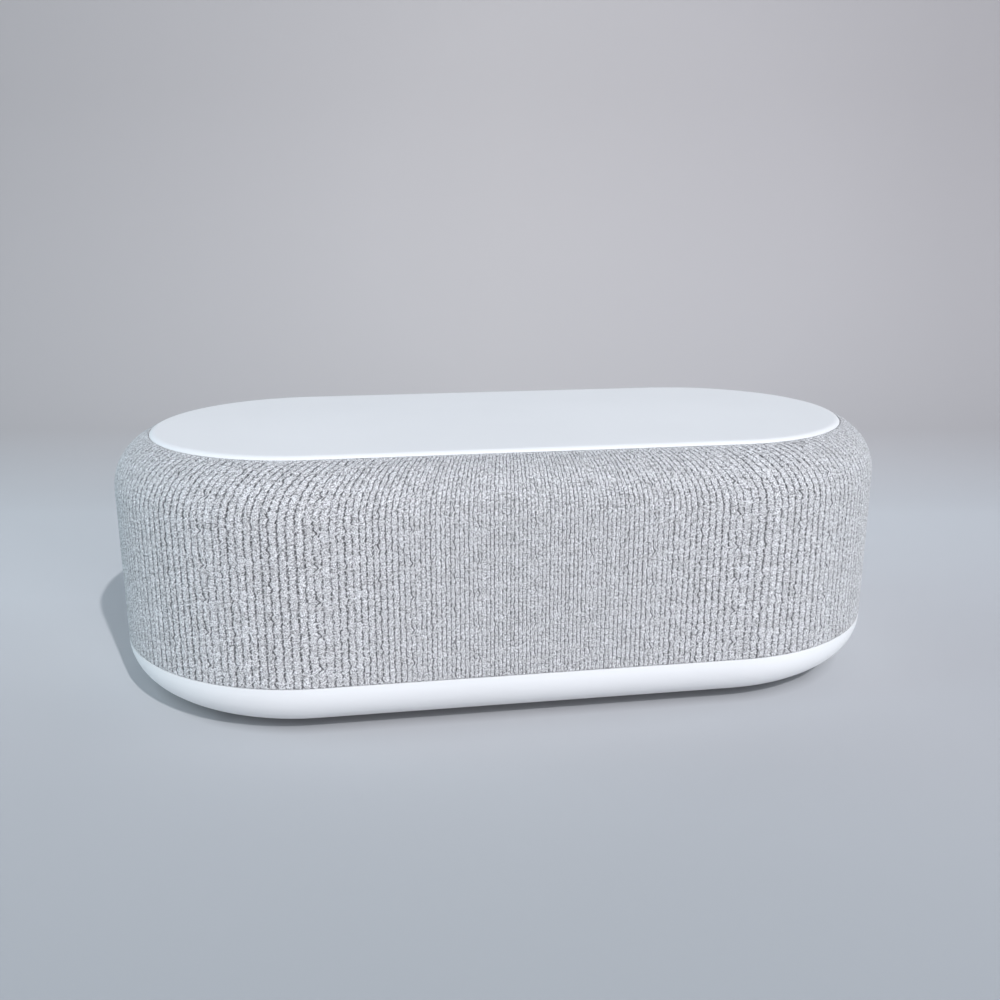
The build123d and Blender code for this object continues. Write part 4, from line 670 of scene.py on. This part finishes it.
def knit_material():
    """Grey rib knit: fine grainy yarn between broken grooves, darkened by their dark yarn core and by painted
    shade.
    """
    s = Shader("rib_knit")
    uv = s.add("ShaderNodeUVMap", uv_map="stitches").outputs["UV"]
    split = s.add("ShaderNodeSeparateXYZ")
    s.join(uv, split.inputs[0])
    rib = split.outputs["X"]
    course = split.outputs["Y"]
    groove_core_and_shade = s.add("ShaderNodeAttribute", attribute_name="groove_core_and_shade").outputs["Fac"]
    fleck = s.add("ShaderNodeAttribute", attribute_name="tone").outputs["Fac"]

    def soft_noise(at, stretch):
        return s.noise(1.0, 1.0, 0.5, s.vector("MULTIPLY", at, stretch))

    def about_zero(noise, strength):
        return s.math("MULTIPLY", s.math("SUBTRACT", noise, 0.5), strength)

    off_crest = s.math("ABSOLUTE", s.math("SUBTRACT", s.math("FRACT", rib), CREST_AT))
    slanted = s.math("SUBTRACT", course, s.math("MULTIPLY", off_crest, LOOP_LEAN))
    loop = s.math("SINE", s.math("MULTIPLY", s.math("FRACT", slanted), math.pi))
    leaning = s.add("ShaderNodeCombineXYZ")
    s.join(rib, leaning.inputs["X"])
    s.join(slanted, leaning.inputs["Y"])
    grain = soft_noise(leaning.outputs[0], GRAIN_STRETCH)
    fibre = s.noise(FIBRE_SCALE, 3.0, 0.6)

    mixed = s.math("ADD", about_zero(grain, GRAIN_TONE), about_zero(fibre, FIBRE_TONE))
    mixed = s.math("ADD", s.math("ADD", mixed, s.math("MULTIPLY", fleck, FLECK_TONE)), 0.5)
    yarn = s.times(s.ramp(mixed, YARN_TONES), s.ramp(soft_noise(uv, PATCH_STRETCH), PATCH_TONES))
    ragged = s.drawn_out(soft_noise(uv, RAGGED_STRETCH), RAGGED_LEAST, RAGGED_MOST)
    # Grooves darkened in colour: their dark yarn core, and painted shade on top of the grooves' own shadow
    s.colour(s.times(yarn, s.ramp(s.math("MULTIPLY", groove_core_and_shade, ragged), GROOVE_CORE_AND_SHADE_TONES)))

    height = s.math("ADD", s.math("MULTIPLY", loop, LOOP_HEIGHT), s.math("MULTIPLY", grain, GRAIN_HEIGHT))
    height = s.math("ADD", height, s.math("MULTIPLY", fibre, FIBRE_HEIGHT))
    s.bump(height, YARN_RELIEF, 0.8)
    s.set(Roughness=0.95, Specular_IOR_Level=0.12, Sheen_Weight=0.10, Sheen_Roughness=0.6)
    return s.material


MATERIALS = {
    "base_white": moulded("base_white", (0.80, 0.80, 0.80), 0.48, shift=0.012, depth=0.000006, shine=0.35),
    "plate_white": moulded("plate_white", (0.80, 0.80, 0.80), 0.55, shift=0.012, depth=0.000006, shine=0.2),
    "panel_white": moulded("panel_white", (0.76, 0.765, 0.77), 0.45, shift=0.015, depth=0.000008),
    "button_white": moulded("button_white", (0.66, 0.665, 0.675), 0.5, shift=0.02, depth=0.000012),
    "shell_grey": moulded("shell_grey", (0.10, 0.10, 0.105), 0.55, shift=0.06),
    "parts_black": moulded("parts_black", (0.022, 0.022, 0.024), 0.5, shift=0.12),
    "rubber_grey": moulded("rubber_grey", (0.22, 0.22, 0.225), 0.85, shift=0.06, depth=0.00004),
    "rubber_black": moulded("rubber_black", (0.018, 0.018, 0.019), 0.8, shift=0.12, depth=0.00003),
    "steel": brushed("steel", (0.55, 0.55, 0.56), 0.32, Z),
    "basket_steel": moulded("basket_steel", (0.045, 0.045, 0.048), 0.42, shift=0.08),
    "tin": brushed("tin", (0.62, 0.62, 0.61), 0.38, X),
    "copper": banded("copper", (0.42, 0.17, 0.08), (0.80, 0.40, 0.22), 0.34, 0.00035, Y, metal=1.0),
    "ferrite": moulded("ferrite", (0.05, 0.05, 0.052), 0.6, shift=0.12),
    "board_green": circuit("board_green"),
    "connector_white": moulded("connector_white", (0.66, 0.64, 0.58), 0.5, shift=0.03),
    "cell_wrap": moulded("cell_wrap", (0.06, 0.16, 0.36), 0.42, shift=0.06),
    "lead_red": moulded("lead_red", (0.42, 0.03, 0.025), 0.5, shift=0.06),
    "lead_black": moulded("lead_black", (0.02, 0.02, 0.022), 0.5, shift=0.1),
    "paper": moulded("paper", (0.035, 0.035, 0.036), 0.9, shift=0.2, depth=0.00008),
    "spider_cloth": banded("spider_cloth", (0.26, 0.14, 0.05), (0.52, 0.31, 0.12), 0.88, 0.0009, X),
    "radiator_metal": brushed("radiator_metal", (0.30, 0.30, 0.31), 0.45, Z),
}

for name, thing in nodes.items():
    if slot_of[name] in MATERIALS:
        thing.data.materials.clear()
        thing.data.materials.append(MATERIALS[slot_of[name]])

sleeve = knit_sleeve()
sleeve.data.materials.append(knit_material())
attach(sleeve, "speaker")
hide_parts("fabric_sleeve")

# Radii in metres: where a surround's frame starts, and where a spider's glued eye ends and its ledge starts
RIM_EYE = 0.0186
SPIDER_EYE = 0.0080
SPIDER_LEDGE = 0.0134


def half_width(node):
    """Half the width of a solid, which is the radius of a round one."""
    low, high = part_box(node)
    return (high.x - low.x) / 2


def flexing_ring(name, moving, hub, rim):
    """A ring that goes with the moving body inside the hub and stays with the speaker past the rim."""
    low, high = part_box(name)
    middle = (low + high) / 2
    mesh = nodes[name].data.copy()
    ring = bpy.data.objects.new(name + "_flexing", mesh)
    bpy.context.scene.collection.objects.link(ring)
    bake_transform(ring, "speaker", moving, start=middle + Vector((rim, 0, 0)), end=middle + Vector((hub, 0, 0)))
    # The blend runs along a line, so the shares of a round piece are set by radius instead
    points = np.array([corner.co for corner in mesh.vertices])
    radius = np.hypot(points[:, X] - middle.x, points[:, Z] - middle.z)
    share = np.clip((rim - radius) / (rim - hub), 0.0, 1.0)
    share = share * share * (3.0 - 2.0 * share)
    mesh.attributes["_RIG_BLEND"].data.foreach_set("value", share.astype(np.float32))
    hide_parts(name)


for side in ("left_", "right_"):
    cone = side + "cone"
    radiator = side + "radiator"
    flexing_ring(side + "surround", cone, half_width(cone), RIM_EYE)
    flexing_ring(side + "spider", cone, SPIDER_EYE, SPIDER_LEDGE)
    flexing_ring(radiator + "_surround", radiator, half_width(radiator + "_plate"), RIM_EYE)

# The photograph's view: angles, the point looked at and the distance in metres, and the lens in millimetres
AZIMUTH = math.radians(-9.150)
ELEVATION = math.radians(15.539)
AIM_ACROSS = -0.001438
AIM_UP = 0.057121
DISTANCE = 0.38418
SENSOR = 36.0
FOCAL = 38.18
NEAREST = 0.01
across_way = Vector((math.cos(AZIMUTH), math.sin(AZIMUTH), 0.0))
away_way = Vector((-math.sin(AZIMUTH), math.cos(AZIMUTH), 0.0))
up_way = Vector((0.0, 0.0, 1.0))

# The stage in metres: a floor, and a paper sweep that bends up behind the speaker
FLOOR_HALF = 4.0
SWEEP_HALF = 2.5
SWEEP_TOP = 1.2
SWEEP_LIFT = 0.0001
COVE_START = 0.20
COVE_R = 0.24
COVE_STEPS = 24
FADE_START = 0.68
FADE_END = 1.05
BACKDROP = (0.50, 0.515, 0.54, 1.0)
AMBIENT = (0.085, 0.115, 0.17, 1.0)
# The centre and reach of a painted pool of light on the back wall
GLOW_AT = across_way * 0.07 + away_way * (COVE_START + COVE_R) + up_way * 0.14
GLOW_REACH = 0.6
# Painted light and shade on the stage, as tones: a painted falloff from front to back and from left to right, a
# painted pool of light out from the glow, and a painted contact shadow under the speaker
RUN_FROM, RUN_TO = -0.40, 0.60
PAINTED_DEPTH_FALLOFF = (
    (0.00, (0.475, 0.49, 0.505)),
    (0.16, (0.545, 0.57, 0.59)),
    (0.32, (0.715, 0.72, 0.735)),
    (0.45, (0.815, 0.835, 0.855)),
    (0.58, (0.785, 0.80, 0.815)),
    (0.72, (0.56, 0.535, 0.53)),
    (1.00, (0.54, 0.51, 0.505)),
)
SIDE_FROM, SIDE_TO = -0.40, 0.40
PAINTED_SIDE_FALLOFF = (
    (0.0, (0.985, 0.99, 1.0)),
    (0.5, (1.0, 1.0, 1.0)),
    (0.7, (0.945, 0.945, 0.955)),
    (0.9, (0.885, 0.885, 0.90)),
)
PAINTED_POOL_OF_LIGHT = (
    (0.0, (0.90, 0.90, 0.90)),
    (0.27, (0.88, 0.88, 0.88)),
    (0.5, (0.80, 0.80, 0.80)),
    (0.75, (0.72, 0.72, 0.72)),
    (1.0, (0.70, 0.70, 0.70)),
)
# How far the painted contact shadow under the speaker reaches, in metres, and its tones
CONTACT_SHADOW_REACH = 0.1
PAINTED_CONTACT_SHADOW = ((0.40, (0.35, 0.35, 0.36)), (0.50, (0.60, 0.60, 0.61)), (0.59, (1.0, 1.0, 1.0)))


def seen_ray(tree):
    """1 for what the camera sees, also in a reflection or through glass, and 0 for light on the object."""
    rays = tree.nodes.new("ShaderNodeLightPath")
    seen = rays.outputs["Is Camera Ray"]
    for kind in ("Is Glossy Ray", "Is Transmission Ray"):
        either = tree.nodes.new("ShaderNodeMath")
        either.operation = "MAXIMUM"
        tree.links.new(seen, either.inputs[0])
        tree.links.new(rays.outputs[kind], either.inputs[1])
        seen = either.outputs[0]
    return seen


def contact_shadow_distance(s, here):
    """How far a point of the floor is from the speaker's spine, as a share of the painted contact shadow's
    reach.
    """
    along = s.math("ABSOLUTE", s.vector("DOT_PRODUCT", here, (1.0, 0.0, 0.0)))
    past_end = s.math("MAXIMUM", s.math("SUBTRACT", along, HALF_SPINE * MM), 0.0)
    beside = s.vector("DOT_PRODUCT", here, (0.0, 1.0, 0.0))
    square = s.math("ADD", s.math("MULTIPLY", past_end, past_end), s.math("MULTIPLY", beside, beside))
    return s.math("DIVIDE", s.math("SQRT", square), CONTACT_SHADOW_REACH)


def stage_material(name, one_sided):
    """Pale paper with painted light and shade, darker at the front and to the right and lighter in a painted
    glow on the back wall, with a painted contact shadow under the speaker on the floor, that fades into the
    backdrop.
    """
    s = Shader(name)
    here = s.where()
    # Painted falloff of light from front to back and across, and a painted pool of light on the back wall
    run = s.span(s.vector("DOT_PRODUCT", here, away_way + up_way), RUN_FROM, RUN_TO, 0.0, 1.0)
    across = s.span(s.vector("DOT_PRODUCT", here, across_way), SIDE_FROM, SIDE_TO, 0.0, 1.0)
    from_glow = s.math("DIVIDE", s.vector("DISTANCE", here, GLOW_AT), GLOW_REACH)
    tone = s.times(s.ramp(run, PAINTED_DEPTH_FALLOFF), s.ramp(from_glow, PAINTED_POOL_OF_LIGHT))
    tone = s.times(tone, s.ramp(across, PAINTED_SIDE_FALLOFF))
    # A painted contact shadow darkens the floor under the speaker
    if not one_sided:
        tone = s.times(tone, s.ramp(contact_shadow_distance(s, here), PAINTED_CONTACT_SHADOW))
    s.colour(tone)
    s.set(Roughness=0.95, Specular_IOR_Level=0.05)

    fade = s.span(s.vector("LENGTH", here), FADE_START, FADE_END, 0.0, 1.0)
    plain = s.add("ShaderNodeEmission")
    plain.inputs["Color"].default_value = BACKDROP
    surface = s.either(s.math("MULTIPLY", fade, seen_ray(s.tree)), s.body.outputs[0], plain.outputs[0])
    if one_sided:
        behind = s.add("ShaderNodeNewGeometry").outputs["Backfacing"]
        surface = s.either(behind, surface, s.add("ShaderNodeBsdfTransparent").outputs[0])
    s.join(surface, s.tree.nodes["Material Output"].inputs["Surface"])
    return s.material


def stage_sheet(name, points, faces, one_sided=False):
    """A sheet of the stage, which may be seen and lit through from behind."""
    mesh = bpy.data.meshes.new(name)
    mesh.from_pydata(points, [], faces)
    mesh.polygons.foreach_set("use_smooth", [True] * len(mesh.polygons))
    thing = bpy.data.objects.new(name, mesh)
    bpy.context.scene.collection.objects.link(thing)
    mesh.materials.append(stage_material(name, one_sided))
    thing.visible_shadow = not one_sided


def sweep_line():
    """The sweep's side view as distance and height: a quarter circle and the wall above it."""
    turns = [math.pi / 2 * i / COVE_STEPS for i in range(COVE_STEPS + 1)]
    line = [(COVE_START + COVE_R * math.sin(a), COVE_R - COVE_R * math.cos(a)) for a in turns]
    return line + [(COVE_START + COVE_R, SWEEP_TOP)]


stage_sheet(
    "studio_floor",
    [(x * FLOOR_HALF, y * FLOOR_HALF, 0.0) for x, y in ((-1, -1), (1, -1), (1, 1), (-1, 1))],
    [(0, 1, 2, 3)],
)
line = sweep_line()
edges = (-SWEEP_HALF, SWEEP_HALF)
stage_sheet(
    "studio_sweep",
    [across_way * x + away_way * d + up_way * (z + SWEEP_LIFT) for d, z in line for x in edges],
    [(2 * i, 2 * i + 1, 2 * i + 3, 2 * i + 2) for i in range(len(line) - 1)],
    one_sided=True,
)


def lamp(name, place, aim, wide, tall, power, colour=(1.0, 1.0, 1.0), mirrored=False):
    """An area lamp at place that faces aim, and shows in reflections or not."""
    data = bpy.data.lights.new(name, "AREA")
    data.shape = "RECTANGLE"
    data.size = wide
    data.size_y = tall
    data.energy = power
    data.color = colour
    lit = bpy.data.objects.new(name, data)
    bpy.context.scene.collection.objects.link(lit)
    lit.location = place
    lit.rotation_euler = (Vector(place) - Vector(aim)).to_track_quat("Z", "Y").to_euler()
    lit.visible_glossy = mirrored


KEY_AIM = (0.0, 0.0, 0.04)
FILL_AIM = (0.0, 0.0, 0.05)
lamp("key", (0.393, -1.609, 1.476), KEY_AIM, 0.035, 0.035, 30.0, (0.96, 0.955, 0.995), mirrored=True)
lamp("fill_front", (0.25, -1.98, 0.72), FILL_AIM, 1.4, 0.5, 22.6, (0.95, 0.962, 1.0))
lamp("fill_right", (1.7, -0.35, 0.6), FILL_AIM, 1.2, 0.8, 7.0, (0.80, 0.95, 1.0))
lamp("fill_left", (-1.75, 0.1, 0.6), FILL_AIM, 1.2, 0.8, 16.4, (0.70, 0.915, 1.0))
lamp("fill_rear", (0.8, 1.5, 0.42), FILL_AIM, 1.4, 0.5, 7.5)


def studio_world():
    """Bluish ambient light, with the plain backdrop where a view goes past the stage."""
    world = bpy.data.worlds.new("studio")
    world.use_nodes = True
    tree = world.node_tree
    ambient = tree.nodes["Background"]
    ambient.inputs["Color"].default_value = AMBIENT
    backdrop = tree.nodes.new("ShaderNodeBackground")
    backdrop.inputs["Color"].default_value = BACKDROP
    choose = tree.nodes.new("ShaderNodeMixShader")
    for socket, value in zip(choose.inputs, (seen_ray(tree), ambient.outputs[0], backdrop.outputs[0])):
        tree.links.new(value, socket)
    tree.links.new(choose.outputs[0], tree.nodes["World Output"].inputs["Surface"])
    return world


def photo_camera():
    """A camera at the photograph's viewing angle."""
    back_way = up_way * math.sin(ELEVATION) - away_way * math.cos(ELEVATION)
    lens = bpy.data.cameras.new("camera")
    lens.sensor_width = SENSOR
    lens.lens = FOCAL
    lens.clip_start = NEAREST
    camera = bpy.data.objects.new("camera", lens)
    bpy.context.scene.collection.objects.link(camera)
    camera.location = across_way * AIM_ACROSS + up_way * AIM_UP + back_way * DISTANCE
    camera.rotation_euler = back_way.to_track_quat("Z", "Y").to_euler()
    return camera


bpy.context.scene.world = studio_world()
bpy.context.scene.camera = photo_camera()
bpy.context.scene.view_settings.view_transform = "Standard"
